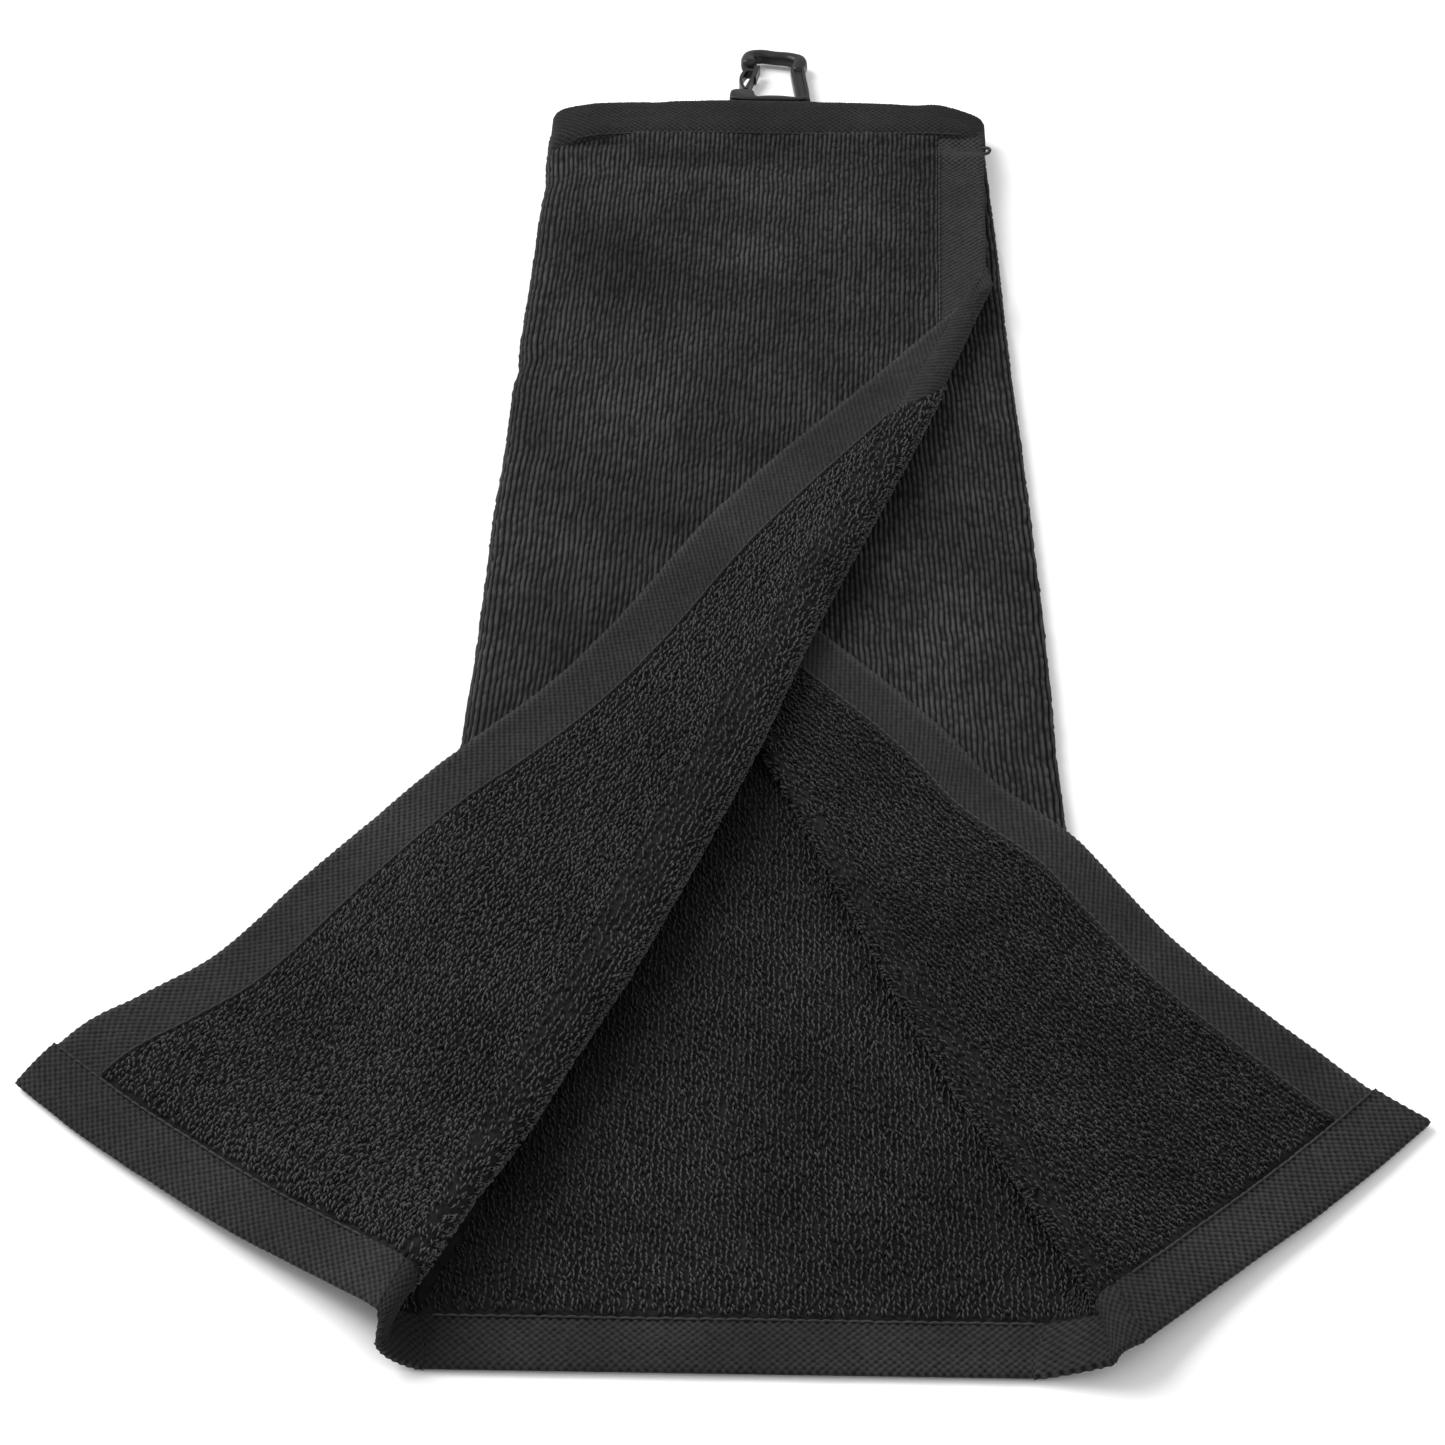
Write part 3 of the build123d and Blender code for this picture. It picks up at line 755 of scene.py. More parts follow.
def left_tuck(y):
    """How far the left fold's upper end is drawn in near the bottom hem."""
    return 2.2 * (1 - smooth(y / 16))


def left_shared(y):
    """Upper end of the left fold: on the roll near the bottom, on the flap above it."""
    on_roll_x = L.foot[0] - BACK / L.e[1] + y * L.e[0] / L.e[1] + left_tuck(y)
    flap = left_flap(np.full_like(y, LEFT_FOLD_IN), y)
    t = smooth((y - left_fold_top + 4) / 8)
    x = on_roll_x * (1 - t) + flap[..., 0] * t
    z = flap[..., 2] - 0.6 * (1 - smooth(y / 18))
    return point(x, y, z)


def right_shared(y):
    x = curve(y, [(0, 82.0), (10, 83.4), (right_fold_top, 82.3)])
    z = curve(y, [(0, 6.6), (10, 5.2), (right_fold_top, 3.6), (40, 3.5)])
    flap = right_flap(np.full_like(y, RIGHT_FOLD_IN), y)
    t = smooth((y - right_fold_top + 4) / 6)
    return point(x * (1 - t) + flap[..., 0] * t, y, z * (1 - t) + flap[..., 2] * t)


def left_inner(y):
    """Left edge of the flat centre panel."""
    return left_edge(y) + 5 + 4 * (1 - smooth(y / 24))


def right_inner(y):
    return right_edge(y) - 3.0 - 17.5 * (1 - smooth(y / 45))


def left_fold(q, y):
    t = smooth(y / 24)
    edge = left_edge(y)
    p3 = left_shared(y)
    p0 = point(left_inner(y), y, 1.0)
    swell = bump(y, 11, 7)
    p1 = point((1 - t) * -74.5 + t * (edge - 1.67) - 1.5 * swell, y, 1.0 + 0.6 * (1 - t))
    p2 = point((1 - t) * -79.5 + t * (edge - 1.67) - 3.2 * swell, y, (1 - t) * 5.2 + t * p3[..., 2])
    return bezier(q[..., None], p0, p1, p2, p3)


def right_fold(q, y):
    t = smooth(y / 40)
    edge = right_edge(y)
    p3 = right_shared(y)
    p0 = point(right_inner(y), y, 1.0)
    p1 = point((1 - t) * 70.5 + t * (edge + 1.1), y, 1.0 + 1.0 * (1 - t))
    p2 = point((1 - t) * 78.0 + t * (edge + 1.1), y, (1 - t) * 4.6 + t * p3[..., 2])
    return bezier(q[..., None], p0, p1, p2, p3)


# How far each roll bulges past its crease, by distance along the crease
LEFT_BULGE = [
    (-2, -1.9), (20, 0.5), (45, 3.0), (65, 6.4), (95, 8.4), (125, 11), (165, 12), (215, 11.6),
    (275, 8), (322, 7.7), (370, 7), (430, 3.4), (462, 1.0),
]
RIGHT_BULGE = [
    (0, 3.4), (25, 1.6), (40, 2.0), (63, 3.7), (90, 5), (125, 5.7), (153, 4), (189, 2.1), (224, 1.3),
    (380, 1.1),
]


def left_roll(q, s):
    x0, y0 = L.roll_xy(s, -BACK)
    x3 = x0
    x0 = x0 + left_tuck(y0)
    flap_a = x0 - (LEFT_TOP_X - LEFT_SPLAY * (1 - y0 / LENGTH))
    z0 = left_flap_z(flap_a, y0) - 0.6 * (1 - smooth(y0 / 18))
    z3 = left_lapel_z(x3, y0)
    c = curve(s, LEFT_BULGE)
    x1, y1 = L.roll_xy(s, c)
    z1 = z0 + curve(s, [(-2, 1.5), (15, 0.5), (30, -0.3), (470, -0.2)])
    z2 = z3 + curve(s, [(-2, 0.3), (30, 0.9), (60, 1.5), (400, 1.2), (460, 0.2)])
    corners = point(x0, y0, z0), point(x1, y1, z1), point(x1, y1, z2), point(x3, y0, z3)
    return bezier(q[..., None], *corners)


def right_roll(q, s):
    t = smooth((s - 3) / 22)
    p0 = curve(s, [(0, 6.6), (2.25, 5.56), (11, 0.4), (23.5, -BACK), (30, -BACK), (380, -BACK)])
    x0, y0 = R.roll_xy(s, p0)
    shared = right_shared(y0)
    straight = RIGHT_TOP_X + RIGHT_SPLAY * (1 - y0 / LENGTH)
    flap = right_flap_z(straight - x0, y0)
    k = smooth((s - 20) / 6)
    z0 = shared[..., 2] * (1 - k) + flap * k
    x3, y3 = R.roll_xy(s, -BACK)
    z3 = right_lapel_z(x3, y3)
    c = curve(s, RIGHT_BULGE)
    x1, y1 = R.roll_xy(s, (1 - t) * 4.6 + t * c)
    x2, y2 = R.roll_xy(s, (1 - t) * 1.4 + t * c)
    z1 = z0 + (1 - t) * 2.4 - 0.2 * t
    z2 = z3 + 0.8 + 0.6 * t
    corners = point(x0, y0, z0), point(x1, y1, z1), point(x2, y2, z2), point(x3, y3, z3)
    return bezier(q[..., None], *corners)


def strip_grid(q_count, start, end, step):
    """Grids of q, 0 to 1 round a fold, and s along it, between start(q) and end(q)."""
    q = np.linspace(0, 1, q_count)
    lo, hi = start(q), end(q)
    rows = max(3, int(np.max(hi - lo) / step) + 1)
    t = np.linspace(0, 1, rows)[:, None]
    return np.broadcast_to(q, (rows, q_count)).copy(), lo + (hi - lo) * t


def side_of(surface, a, b, wanted):
    """Sign that turns the surface's grid normal towards a wanted direction at (a, b)."""
    e = 0.05
    here = surface(np.array(a), np.array(b))
    du = surface(np.array(a + e), np.array(b)) - here
    dv = surface(np.array(a), np.array(b + e)) - here
    return 1.0 if np.cross(du, dv) @ np.array(wanted, float) > 0 else -1.0


UP = (0, 0, 1)


def cut(shell, surface, a, b, side, terry_relief, velour_relief, half, mat, stride, box, fine="terry"):
    """A closed sheet round a surface. side is the sign of the grid normal on the terry side."""
    mid = surface(a, b)
    n = normals(mid) * side
    terry_face = mid + n * (half + terry_relief[..., 0])[..., None]
    velour_face = mid - n * (half + velour_relief[..., 0])[..., None]
    pair, shades = (terry_face, velour_face), (terry_relief[..., 1], velour_relief[..., 1])
    if fine == "velour":
        pair, shades = pair[::-1], shades[::-1]
    slab(shell, *pair, mat, stride, box, shades)


def place(obj, node, body="towel"):
    """A finished piece that rides on a body and stands for one CAD node."""
    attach(obj, body)
    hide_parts(node)


def finish(shell, node, slot, *materials):
    place(shell.build(node, materials), node)


def sew(node, body, *run, **thread_size):
    place(stitches(node, *run, **thread_size), node, body)


# Centre panel: terry loops face up in the open V, velour lies on the floor


def centre(a, b):
    """a runs 0 to 1 across the panel."""
    x = left_inner(b) + a * (right_inner(b) - left_inner(b))
    return point(x, b, 1.0 + 0 * b)


def centre_xy(x, y):
    return point(x, y, 1.0 + 0.12 * noise(x / 20, y / 20, 51))


def in_shadow(t):
    """Shade beside the left roll, rising to full as t goes from 0 to 1."""
    return 0.45 + 0.55 * smooth(t)


def build_centre():
    """Terry loops only where the open V shows them."""
    shell = Shell()
    a, b = grid(0.0, 1.0, 0.008, HEM, TOP_HEM_Y, 2.0 * FINE)
    mid = centre(a, b)
    x, y = mid[..., 0], mid[..., 1]
    ground = pile(x, y)
    upper = mid + point(0, 0, HALF_CLOTH + ground[..., 0])
    lower = mid - point(0, 0, 0.55 + 0 * x)
    slab(shell, upper, lower, 0, 3, shades=(ground[..., 1], 0.4))
    side = side_of(centre_xy, 0.0, 50.0, UP)
    x, y = sprinkle(-80, 84, HEM + GROOVE, 232, LOOP_PITCH, LOOP_PITCH, 61)
    left_limit = L.foot[0] + y * L.e[0] / L.e[1] + 1.0
    right_limit = R.foot[0] + y * R.e[0] / R.e[1] + 1.5
    seen = (x > left_limit) & (x < right_limit)
    seen &= (x > left_inner(y)) & (x < right_inner(y))
    tone_and_painted_light = 1.1 * in_shadow((x - left_limit)[seen] / 30)
    loops(shell, centre_xy, x[seen], y[seen], side, 62, tone_and_painted_light)
    finish(shell, "centre_panel", "towelling", terry)


def build_bottom_hem():
    shell = Shell()
    a, b = grid(0.0, 1.0, 0.0026 * FINE, 0.0, HEM, 0.36 * FINE)
    mid = centre(a, b)
    x, y = mid[..., 0], mid[..., 1]
    edge = 0.5 * (1 - smooth(y / 1.2))
    cloth = weave(x, y)
    upper = mid + point(0, 0, HEM_HALF - edge + cloth[..., 0])
    lower = mid - point(0, 0, 0.75 - edge * 0.6 + 0 * x)
    tone_and_painted_light = 0.9 * in_shadow((x + 80) / 34)
    slab(shell, upper, lower, 0, 3, shades=(tone_and_painted_light * cloth[..., 1], 0.5))
    finish(shell, "bottom_hem", "woven_hem", woven)


def rounded(span):
    """How much a hem thins near a free edge, so that it looks turned and soft."""
    return 0.55 * (1 - smooth(span / 1.4))


def inside(shell, fold, side, columns, top, seed):
    """Terry loops on the inner face of a side fold, where the lapel leaves it open."""
    rng = np.random.default_rng(seed)
    count = int((top - HEM - GROOVE) / LOOP_PITCH)
    rows = HEM + GROOVE + LOOP_PITCH * (np.arange(count) + 0.5)
    y, k = np.meshgrid(rows, np.arange(columns), indexing="ij")
    q = (k + 0.5 + rng.uniform(-0.3, 0.3, k.shape)) / columns
    y = y + rng.uniform(-0.4, 0.4, y.shape)
    wide = lambda a, b: fold(a / FOLD_ARC, b)
    a, b = FOLD_ARC * q.ravel(), y.ravel()
    loops(shell, wide, a, b, side, seed + 1, uv_box=(0, 0.9, 1, 1), mat=2)


def build_left_flap():
    shell = Shell()
    step = 0.375 * FINE
    a, b = grid(LEFT_FOLD_IN, LEFT_WIDTH - HEM, step, left_flap_low, TOP_HEM_Y, 0.85 * FINE)
    side = -side_of(left_flap, 50.0, 300.0, UP)
    form = cords(a, b)
    # Painted shade in the troughs and beside the lapel's hem, and a darker patch, on the cords' shade
    form[..., 1] *= patches_and_painted_shade(a, b)
    cut(shell, left_flap, a, b, side, plain(a, b), form, HALF_CLOTH, 0, 4, WHOLE, "velour")
    finish(shell, "left_flap", "towelling", velour)

    shell = Shell()
    q, y = strip_grid(60, lambda q: HEM + 0 * q, lambda q: TOP_HEM_Y + 0 * q, 1.3 * FINE)
    side = side_of(left_fold, 0.5, 200.0, (1, 0, 0))
    outer = cords(LEFT_FOLD_IN - FOLD_ARC * (1 - q), y)
    cut(shell, left_fold, q, y, side, pile(FOLD_ARC * q, y), outer, HALF_CLOTH, 0, 3, WHOLE, "velour")
    inside(shell, left_fold, side, 12, 84, 85)
    q, y = strip_grid(40, lambda q: 0 * q, lambda q: HEM + 0 * q, 0.4 * FINE)
    form = weave(FOLD_ARC * q, y)
    area = (0, 0, 1, 0.1)
    # Painted shade: the hem's inner face, inside the fold, is painted half as light
    cut(shell, left_fold, q, y, side, dimmed(form, 0.5), form, HEM_HALF, 1, 1, area, "velour")
    finish(shell, "left_fold", "towelling", velour, woven, terry)

    shell = Shell()
    a, b = grid(LEFT_WIDTH - HEM, LEFT_WIDTH, 0.36 * FINE, left_flap_low, TOP_HEM_Y, 0.36 * FINE)
    side = -side_of(left_flap, 130.0, 480.0, UP)
    form = sunk(weave(a, b), rounded(LEFT_WIDTH - a))
    form[..., 1] = np.minimum(1.3 * form[..., 1], 1.2)
    cut(shell, left_flap, a, b, side, form, form, HEM_HALF, 0, 2, WHOLE, "velour")
    finish(shell, "left_side_hem", "woven_hem", woven)
    seam = LEFT_WIDTH - SEAM + 0.1
    high, low = (seam, TOP_HEM_Y - 8), (seam, left_flap_low(seam) + 5)
    sew("left_side_stitching", "towel", left_flap, high, low, -side, HEM_HALF)


def build_right_flap():
    shell = Shell()
    a, b = grid(RIGHT_FOLD_IN, RIGHT_WIDTH - HEM, 0.375 * FINE, right_flap_low, TOP_HEM_Y, FINE)
    side = -side_of(right_flap, 50.0, 300.0, UP)
    form = cords(a, b, 7)
    cut(shell, right_flap, a, b, side, plain(a, b), form, HALF_CLOTH, 0, 4, WHOLE, "velour")
    finish(shell, "right_flap", "towelling", velour)

    shell = Shell()
    q, y = strip_grid(40, lambda q: HEM + 0 * q, lambda q: TOP_HEM_Y + 0 * q, 1.3 * FINE)
    side = side_of(right_fold, 0.5, 200.0, (-1, 0, 0))
    outer = cords(RIGHT_FOLD_IN - 9.0 * (1 - q), y, 7)
    cut(shell, right_fold, q, y, side, plain(q, y), outer, HALF_CLOTH, 0, 3, WHOLE, "velour")
    inside(shell, right_fold, side, 14, 64, 105)
    q, y = strip_grid(44, lambda q: 0 * q, lambda q: HEM + 0 * q, 0.4 * FINE)
    form = weave(q * 15, y)
    cut(shell, right_fold, q, y, side, form, form, HEM_HALF, 1, 1, (0, 0, 1, 0.1))
    finish(shell, "right_fold", "towelling", velour, woven, terry)

    shell = Shell()
    a, b = grid(RIGHT_WIDTH - HEM, RIGHT_WIDTH, 1.0, right_flap_low, TOP_HEM_Y, 1.5)
    side = -side_of(right_flap, 115.0, 480.0, UP)
    form = weave(a, b)
    cut(shell, right_flap, a, b, side, form, form, HEM_HALF, 0, 2, WHOLE, "velour")
    finish(shell, "right_side_hem", "woven_hem", woven)


# Shade of the velour backs of terry pieces, whose material is lighter than the velour's
VELOUR_SHARE = 0.58


def lapel_pieces(name, surface, lap, seeds, loop_limit, tone_and_painted_light):
    """Terry field, side hem and bottom hem of a lapel, as unplaced objects."""
    side = side_of(surface, 30.0, 60.0, UP)
    end_a = float(lap.reach(HEM / lap.length)) - 1.2
    shell = Shell()
    a, b = grid(lap.hem, end_a, 0.5 * FINE, HEM, lap.crease_b, 3.0 * FINE)
    back = dimmed(cords(a, b, seeds), VELOUR_SHARE)
    cut(shell, surface, a, b, side, pile(a, b), back, HALF_CLOTH, 0, 1, WHOLE)
    first = lap.hem + GROOVE
    la, lb = sprinkle(first, end_a, HEM + GROOVE, lap.crease_b, LOOP_PITCH, LOOP_PITCH, seeds + 1)
    keep = surface(la, lb)[:, 1] < loop_limit
    field_box = ((lap.hem, end_a), (HEM, lap.length))
    loops(shell, surface, la[keep], lb[keep], side, seeds + 2, tone_and_painted_light, limits=field_box)
    field = shell.build(name, [terry])

    shell = Shell()
    a, b = grid(0.0, lap.hem, 0.36 * FINE, HEM, lap.crease_b, 0.4 * FINE)
    form = sunk(weave(a, b, seeds), rounded(a))
    # Painted highlight along the hem's folded outer edge
    form[..., 1] = np.minimum(form[..., 1] * (0.95 + 0.6 * bump(a, 0.9, 1.3)), 1.2)
    cut(shell, surface, a, b, side, form, form, HEM_HALF, 0, 1, WHOLE)
    side_hem = shell.build(name + "_side_hem", [woven])

    shell = Shell()
    stop = lambda b: lap.reach(b / lap.length)
    b, a = grid(0.0, HEM, 0.36 * FINE, lambda b: 0 * b - 0.9, stop, 0.38 * FINE)
    form = sunk(weave(a, b, seeds + 5), rounded(b) + rounded(a + 0.9))
    cut(shell, surface, a, b, -side, sunk(form, -0.25), form, HEM_HALF, 0, 1, WHOLE)
    return field, side_hem, shell.build(name + "_bottom_hem", [woven])


def roll_pieces(name, surface, marks, q_count, side, seeds, loop_limit, tone_and_painted_light, low_hem_painted_shade):
    """The cloth bent round a crease: a hem at each end and terry between them."""
    start, low_hem, high_hem, end = marks
    shell = Shell()
    # The low hem gets painted shade where the roll shadows it: 0.7 as light on the left roll,
    # unchanged on the right
    low_end = (start, low_hem, low_hem_painted_shade, (0, 0, 1, 0.1))
    high_end = (high_hem, end, 1.0, (0, 0.9, 1, 1))
    for lo, hi, share, box in (low_end, high_end):
        q, s = strip_grid(q_count, lo, hi, 0.4 * FINE)
        form = dimmed(weave(q * FOLD_ARC, s), share)
        cut(shell, surface, q, s, side, form, form, HEM_HALF, 1, 1, box)
    q, s = strip_grid(q_count, low_hem, high_hem, 1.2 * FINE)
    back = dimmed(cords(q * FOLD_ARC, s, seeds), VELOUR_SHARE)
    ground = pile(q * FOLD_ARC, s)
    cut(shell, surface, q, s, side, ground, back, HALF_CLOTH, 0, 1, (0, 0.1, 1, 0.9))
    rng = np.random.default_rng(seeds)
    arc_q = np.linspace(0, 1, 41)[None]
    marks_s = np.linspace(low_hem(0.0), 450, 60)[:, None]
    spans = np.diff(surface(arc_q + 0 * marks_s, marks_s + 0 * arc_q), axis=1)
    arcs = np.linalg.norm(spans, axis=-1).sum(1)
    longest = arcs.max()
    columns = int(longest / LOOP_PITCH)
    la, lb = [], []
    for k in range(columns):
        qk = (k + 0.5) / columns
        lo, hi = float(low_hem(np.array(qk))), min(float(high_hem(np.array(qk))), loop_limit)
        count = int((hi - lo) / LOOP_PITCH)
        rows = lo + (np.arange(count) + 0.5 + rng.uniform(-0.3, 0.3, count)) * (hi - lo) / count
        keep = rng.uniform(0, 1, count) < np.interp(rows, marks_s[:, 0], arcs) / longest + 0.1
        rows = rows[keep]
        la.append(np.clip(qk + rng.uniform(-0.3, 0.3, len(rows)) / columns, 0.01, 0.99))
        lb.append(rows)
    wide = lambda a, b: surface(a / FOLD_ARC, b)
    a, b = np.concatenate(la) * FOLD_ARC, np.concatenate(lb)
    loops(shell, wide, a, b, side, seeds + 1, tone_and_painted_light, (0, 0.1, 0.5, 0.9))
    return shell.build(name, [terry, woven])


def build_left_lapel():
    # Painted light: the left lapel's loops are painted 1.8 times as light, as if more light fell on
    # the left side; its roll's loops 1.3 times
    field, side_hem, bottom_hem = lapel_pieces("left_lapel", left_lapel, L, 71, 1e9, 1.8)
    place(field, "left_lapel", "left_lapel")
    place(side_hem, "left_lapel_side_hem", "left_lapel")
    place(bottom_hem, "left_lapel_bottom_hem", "left_lapel")
    side = side_of(left_lapel, 30.0, 60.0, UP)
    low, high = (L.hem - 0.5, 16), (L.hem - 0.5, L.crease_b(L.hem) - 4)
    sew("left_lapel_side_stitching", "left_lapel", left_lapel, low, high, side, HEM_HALF)
    low, high = (2, SEAM), (L.width * 0.84, SEAM)
    sew("left_lapel_bottom_stitching", "left_lapel", left_lapel, low, high, side, HEM_HALF + 0.25)
    low, hem_low = L.roll_end(L.reach(0.0)), L.roll_end(L.reach(HEM / L.length))
    hem_high, high = L.roll_end(L.hem), L.roll_end(0.0)
    marks = (
        lambda q: -1.1 + (low + 1.1) * q,
        lambda q: 14.8 + (hem_low - 14.8) * q,
        lambda q: 411.9 + (hem_high - 411.9) * q,
        lambda q: curve(q, [(0, 460.3), (0.5, 450.0), (1, high)]),
    )
    side = side_of(left_roll, 0.5, 150.0, (*L.out, 0))
    roll = roll_pieces("left_roll", left_roll, marks, 44, side, 81, 1e9, 1.3, 0.7)
    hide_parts("left_roll")
    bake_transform(roll)


def build_right_lapel():
    # Painted shade: the right lapel's loops and its roll's are painted 0.92 times as light, darker
    # than the left side's
    field, side_hem, bottom_hem = lapel_pieces("right_lapel", right_lapel, R, 91, 290.0, 0.92)
    low, hem_low = R.roll_end(R.reach(0.0)), R.roll_end(R.reach(HEM / R.length))
    hem_high, high = R.roll_end(HEM), R.roll_end(0.0)
    marks = (
        lambda q: 2.25 + (low - 2.25) * q,
        lambda q: 16.6 + (hem_low - 16.6) * q,
        lambda q: 335.0 + (hem_high - 335.0) * q,
        lambda q: 372.0 + (high - 372.0) * q,
    )
    side = side_of(right_roll, 0.5, 100.0, (*R.out, 0))
    roll = roll_pieces("right_roll", right_roll, marks, 36, side, 101, 260.0, 0.92, 1.0)
    side = side_of(right_lapel, 30.0, 60.0, UP)
    low, high = (SEAM, 16), (SEAM, 260)
    side_seam = stitches("right_lapel_side_stitching", right_lapel, low, high, side, HEM_HALF)
    low, high = (2, SEAM), (R.width * 0.84, SEAM)
    name = "right_lapel_bottom_stitching"
    bottom_seam = stitches(name, right_lapel, low, high, side, HEM_HALF + 0.25)
    for obj, slot, *nodes in (
        (field, "towelling", "right_lapel", "right_flap_tuck"),
        (side_hem, "woven_hem", "right_lapel_side_hem", "right_tuck_hem"),
        (bottom_hem, "woven_hem", "right_lapel_bottom_hem"),
        (roll, "towelling", "right_roll"),
        (side_seam, "thread", "right_lapel_side_stitching"),
        (bottom_seam, "thread", "right_lapel_bottom_stitching"),
    ):
        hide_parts(*nodes)
        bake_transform(obj)


# Front and rear edges of the top hem, by x
BAND_FRONT = [
    (-70.5, 502.5), (-66, 504.5), (-59, 507.5), (-41, 510), (-22, 510.8), (26, 510.6), (50, 511.6),
    (69, 510.8),
]
BAND_REAR = [
    (-70, 528.4), (-65, 530), (-49, 531.8), (-29, 533.4), (0, 534.2), (23, 533.5), (43, 532.8),
    (59, 531.6), (69, 527),
]
BAND_HALF = np.array([11.5, 6.0])  # half its usual depth and height
KNOT = [
    (69.0, 508.4, 8.6), (70.9, 507.9, 8.9), (71.4, 506.8, 8.9), (70.9, 505.6, 8.7), (69.2, 505.2, 8.3),
]


def build_top_hem():
    """A puffed band with a squarish section, and the seams that end at it."""
    lo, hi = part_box("top_hem")
    x0, x1 = lo.x * 1000, hi.x * 1000
    rows = int((x1 - x0) / (0.42 * FINE)) + 1
    cols = int(150 / FINE)
    x = np.linspace(x0 - 0.4, x1 + 0.4, rows)[:, None]
    front, rear = curve(x, BAND_FRONT), curve(x, BAND_REAR)
    half_y, half_z = (rear - front) / 2, BAND_HALF[1]
    reach = np.abs((x - (x0 + x1) / 2) / ((x1 - x0) / 2 + 0.4))
    end = np.sqrt(np.clip(1 - reach**60, 0.1, 1))
    theta = np.linspace(0, 2 * math.pi, 6001)
    c, s = np.cos(theta), np.sin(theta)
    ring = np.stack([np.sign(c) * np.abs(c) ** 0.55, np.sign(s) * np.abs(s) ** 0.55], -1)
    steps = np.diff(ring, axis=0) * BAND_HALF
    run = np.concatenate([[0], np.cumsum(np.hypot(*steps.T))])
    at = np.linspace(0, run[-1], cols, endpoint=False)[None]
    across, over = np.interp(at, run, ring[:, 0]), np.interp(at, run, ring[:, 1])
    droop = 1.6 * smooth((x - (x1 - 16)) / 16) + 1.2 * smooth(((x0 + 12) - x) / 12)
    cloth = weave(x, at * 2 * round(run[-1] / 2) / run[-1])
    form = cloth[..., 0] * end
    y = (front + rear) / 2 + (half_y + form) * across * (0.9 + 0.1 * end)
    puff = 0.3 * noise(x / 24, across * 0.8, 9) + 0.25 * noise(x / 9, across * 1.5, 10)
    z = 6.2 + (half_z + form + puff) * over * end - droop * smooth(over)
    z = np.maximum(z, 0.15)
    shell = Shell()
    skin(shell, point(x, y, z), 0.66 * cloth[..., 1])
    tube(shell, spline(KNOT, 24), 0.55, 8)
    finish(shell, "top_hem", "woven_hem", woven)

    band = lambda a, b: point(a, curve(a, BAND_FRONT) + b, 10.9 + 0 * a)
    sew("top_hem_stitching", "towel", band, (-62, 1.4), (62, 1.4), 1.0, 0.0, radius=0.2)
    side = -side_of(left_flap, 50.0, 400.0, UP)
    second = TOP_HEM_Y - 9.5
    low, high = (6.0, second), (138.0, second)
    sew("through_stitching", "towel", left_flap, low, high, -side, 0.55, radius=0.22)
    side = side_of(centre_xy, 0.0, 50.0, UP)
    sew("bottom_hem_stitching", "towel", centre_xy, (-70, SEAM), (66, SEAM), side, HEM_HALF)


def build_hanging_loop():
    """A ribbed webbing hairpin round the hook's bar, and its bar tack."""
    lo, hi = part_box("hanging_loop")
    x0, x1 = lo.x * 1000, hi.x * 1000
    top, bottom = hi.z * 1000, lo.z * 1000
    y0, y1 = lo.y * 1000 + HALF_LENGTH, hi.y * 1000 + HALF_LENGTH
    middle_z, outer = (top + bottom) / 2, (top - bottom) / 2
    radius = outer - 0.6
    bar_y = y1 - outer
    straight = bar_y - y0
    arc = math.pi * radius
    total = 2 * straight + arc

    def ribbon(a, b):
        d = b * total
        angle = np.clip((d - straight) / radius, 0, math.pi)
        on_top, on_low = np.minimum(d, straight), np.maximum(d - straight - arc, 0)
        y = y0 + on_top - on_low + radius * np.sin(angle)
        return point(a, y, middle_z + radius * np.cos(angle))

    a, b = grid(x0, x1, 0.25 * FINE, 0.0, 1.0, 0.012)
    mid = ribbon(a, b)
    n = normals(mid)
    rib = np.sin(math.pi * a / 1.2)
    ridges = 0.12 * np.abs(rib) + 0.07 * np.sin(2 * math.pi * b * total / 0.9) * rib
    shell = Shell()
    slab(shell, mid + n * (0.5 + ridges)[..., None], mid - n * (0.5 + ridges)[..., None])
    finish(shell, "hanging_loop", "webbing", woven)
    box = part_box("loop_stitching")
    shell = Shell()
    z = box[1].z * 1000 - 0.3
    y0 = box[0].y * 1000 + HALF_LENGTH
    t = np.linspace(0, 1, 7)
    arch = np.sin(math.pi * t)
    for x in range(-6, 8, 2):
        tube(shell, point(x, y0 + 2 * t, z + 0.15 * arch), 0.3 * (0.7 + 0.3 * arch))
    finish(shell, "loop_stitching", "thread", thread)


build_centre()
build_bottom_hem()
build_left_flap()
build_right_flap()
build_left_lapel()
build_right_lapel()
build_top_hem()
build_hanging_loop()


def finish_cad(node, material):
    obj = frame["nodes"][node]
    obj.data.materials.clear()
    obj.data.materials.append(material)


finish_cad("hook_gate", nylon)
finish_cad("gate_pin", steel)


def prism(shell, outline, low, high, bevel=0.35):
    """A closed block with rounded edges over an outline in the hook plane."""
    ring = np.asarray(outline, float)
    for _ in range(3):
        nxt = np.roll(ring, -1, axis=0)
        ring = np.stack([0.82 * ring + 0.18 * nxt, 0.18 * ring + 0.82 * nxt], 1).reshape(-1, 2)
    along = np.roll(ring, -1, axis=0) - np.roll(ring, 1, axis=0)
    along /= np.linalg.norm(along, axis=1, keepdims=True)
    inward = np.stack([-along[:, 1], along[:, 0]], -1)
    insets = [(0, bevel), (0.3 * bevel, 0.3 * bevel), (bevel, 0)]
    levels = [(low + z, inset) for z, inset in insets]
    levels += [(high - z, inset) for z, inset in insets[::-1]]
    rings = [np.column_stack([ring + inward * inset, np.full(len(ring), z)]) for z, inset in levels]
    skin(shell, np.stack(rings))


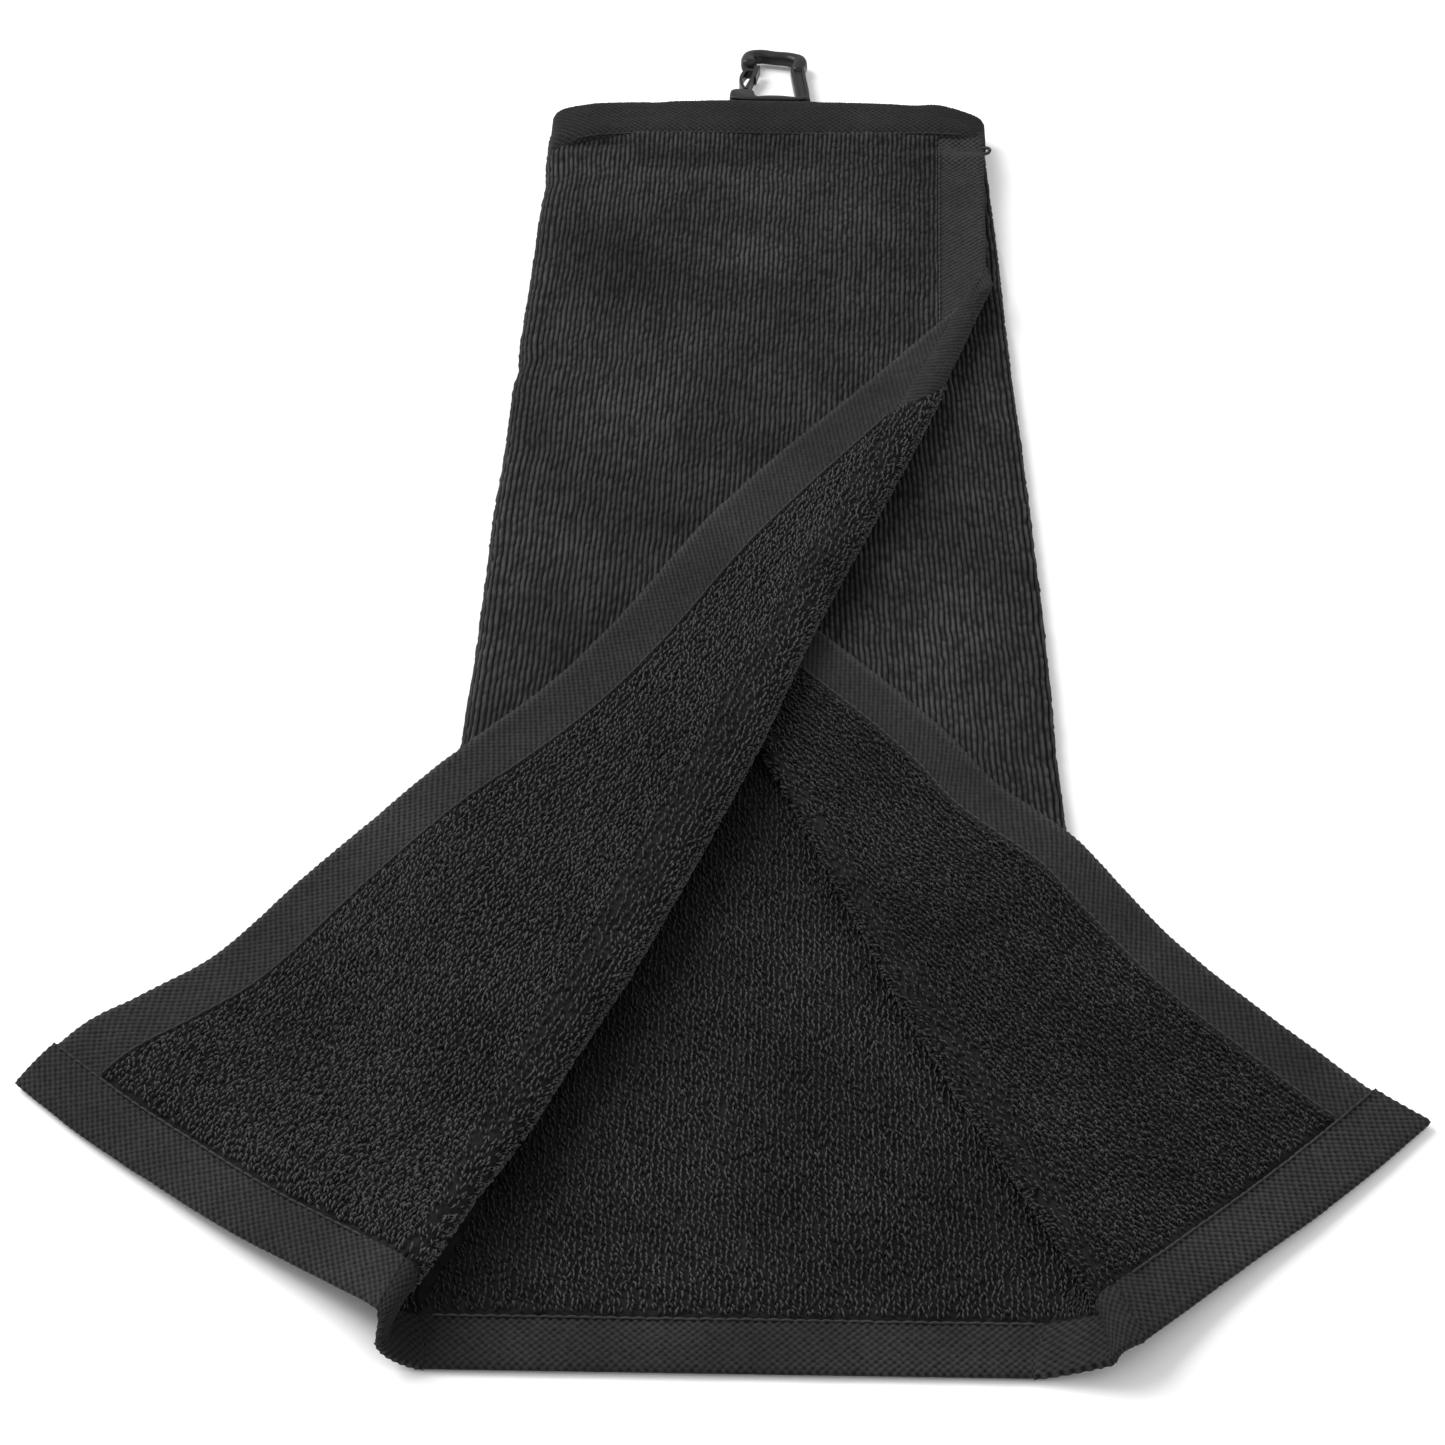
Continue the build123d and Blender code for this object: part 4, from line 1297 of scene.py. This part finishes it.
def build_hook():
    """Strap eye, foot with cheeks over the pin, railed spine, and a bow that ends in a nose.
    Points are millimetres from the middle of the strap bar: across and along the hook."""
    joint = next(j for j in frame["record"]["behaviour"]["joints"] if j["name"] == "hook_swing")
    centre_line = np.array(joint["pos_m"]) * 1000 + (0, HALF_LENGTH, 0)
    shell = Shell()
    flat = lambda points, z=0.0: np.column_stack([np.asarray(points, float), np.full(len(points), z)])
    half_eye = [(8.6, 0), (10.2, 0.2), (11, 1.2), (11, 3), (11, 8)]
    eye = [(-x, y) for x, y in half_eye[::-1]] + [(0, 0)] + half_eye
    tube(shell, spline(flat(eye), 90), 1.42, 18)
    foot = [(12.9, 6.0), (13.2, 9.4), (9.0, 7.6), (4.0, 8.6), (-1.0, 8.6)]
    cheek = [(-13.2, 6.0), *foot, (-4.4, 7.8), (-5.4, 12.6), (-12.7, 12.6)]
    prism(shell, cheek, 1.1, 2.15)
    prism(shell, cheek, -2.1, -1.1)
    prism(shell, [(-13.2, 6.4), (-10.4, 6.4), (-10.4, 12.6), (-12.7, 12.6)], -1.3, 1.3, 0.1)
    prism(shell, [(-3.6, 6.0), *foot, (-3.6, 8.0)], -1.3, 1.3, 0.1)
    spine = [(11.3, 6.4), (10.7, 14), (10.0, 20), (9.3, 27)]
    path = spline(flat(spine), 60)
    tube(shell, path, 2.1, 20, 1.35, 0.45)
    across = np.array([math.cos(0.095), math.sin(0.095), 0])
    for offset in (-1.72, 1.72):
        tube(shell, path + across * offset, 0.68, 16, 2.05, 0.55)
    bow = [
        (9.4, 25.2), (9.5, 28.4), (10.1, 31.2), (9.6, 33.6), (7.2, 35.2), (1.7, 36.3), (-3.6, 37.2),
        (-6.4, 36.2), (-7.3, 33.6), (-6.8, 30.6), (-6.6, 29.3),
    ]
    path = spline(flat(bow), 150)
    run = np.linspace(0, 1, 150)
    width = [(0, 2.2), (0.18, 2.5), (0.35, 2.2), (0.7, 2.2), (0.85, 2.4), (0.95, 2.6), (1, 2.5)]
    width = curve(run, width)
    blunt = np.sqrt(np.clip(1 - np.clip((run - 0.94) / 0.06, 0, 1) ** 2, 0.03, 1))
    rise = np.sqrt(np.clip(1 - np.clip((0.05 - run) / 0.05, 0, 1) ** 2, 0.03, 1))
    tube(shell, path, width * blunt * rise, 32, width * 1.02 * blunt * rise, 0.72)
    for k, part in enumerate(shell.verts):
        shell.verts[k] = part + centre_line
    place(shell.build("hook_frame", [nylon]), "hook_frame", "hook")


build_hook()


# Floor, light and camera


FLOOR_HALF, FLOOR_Z = 3.0, -0.0006  # metres; just under the lowest fibres


def build_stage():
    """Pale floor, white surround, a soft key light from the upper left, and the camera."""
    mesh = bpy.data.meshes.new("floor")
    signs = ((-1, -1), (1, -1), (1, 1), (-1, 1))
    corners = [(FLOOR_HALF * x, FLOOR_HALF * y, FLOOR_Z) for x, y in signs]
    mesh.from_pydata(corners, [], [(0, 1, 2, 3)])
    floor = bpy.data.objects.new("floor", mesh)
    bpy.context.scene.collection.objects.link(floor)
    m, _, shader = finish_nodes("pale_floor", 0.9, 0.0, 0.1)
    shader.inputs["Base Color"].default_value = (0.92, 0.92, 0.92, 1)
    mesh.materials.append(m)

    world = bpy.data.worlds.new("studio")
    bpy.context.scene.world = world
    world.use_nodes = True
    background = world.node_tree.nodes["Background"]
    background.inputs["Color"].default_value = (1, 1, 1, 1)
    background.inputs["Strength"].default_value = 0.75

    for name, place_at, power, width in (
        ("key", (-1.25, 0.62, 1.4), 42.0, 1.4),
        ("fill", (1.1, -0.9, 1.6), 6.0, 1.6),
    ):
        data = bpy.data.lights.new(name, "AREA")
        data.energy = power
        data.size = width
        lamp = bpy.data.objects.new(name, data)
        bpy.context.scene.collection.objects.link(lamp)
        lamp.location = place_at
        lamp.rotation_euler = (-lamp.location).to_track_quat("-Z", "Y").to_euler()

    data = bpy.data.cameras.new("camera")
    data.lens = 95.9
    data.sensor_width = 36.0
    data.clip_start = 0.01
    camera = bpy.data.objects.new("camera", data)
    bpy.context.scene.collection.objects.link(camera)
    camera.location = (0.00752, -0.83209, 0.65731)
    camera.rotation_euler = (math.radians(50.347), 0, math.radians(1.181))
    bpy.context.scene.camera = camera
    bpy.context.scene.view_settings.view_transform = "Standard"


build_stage()
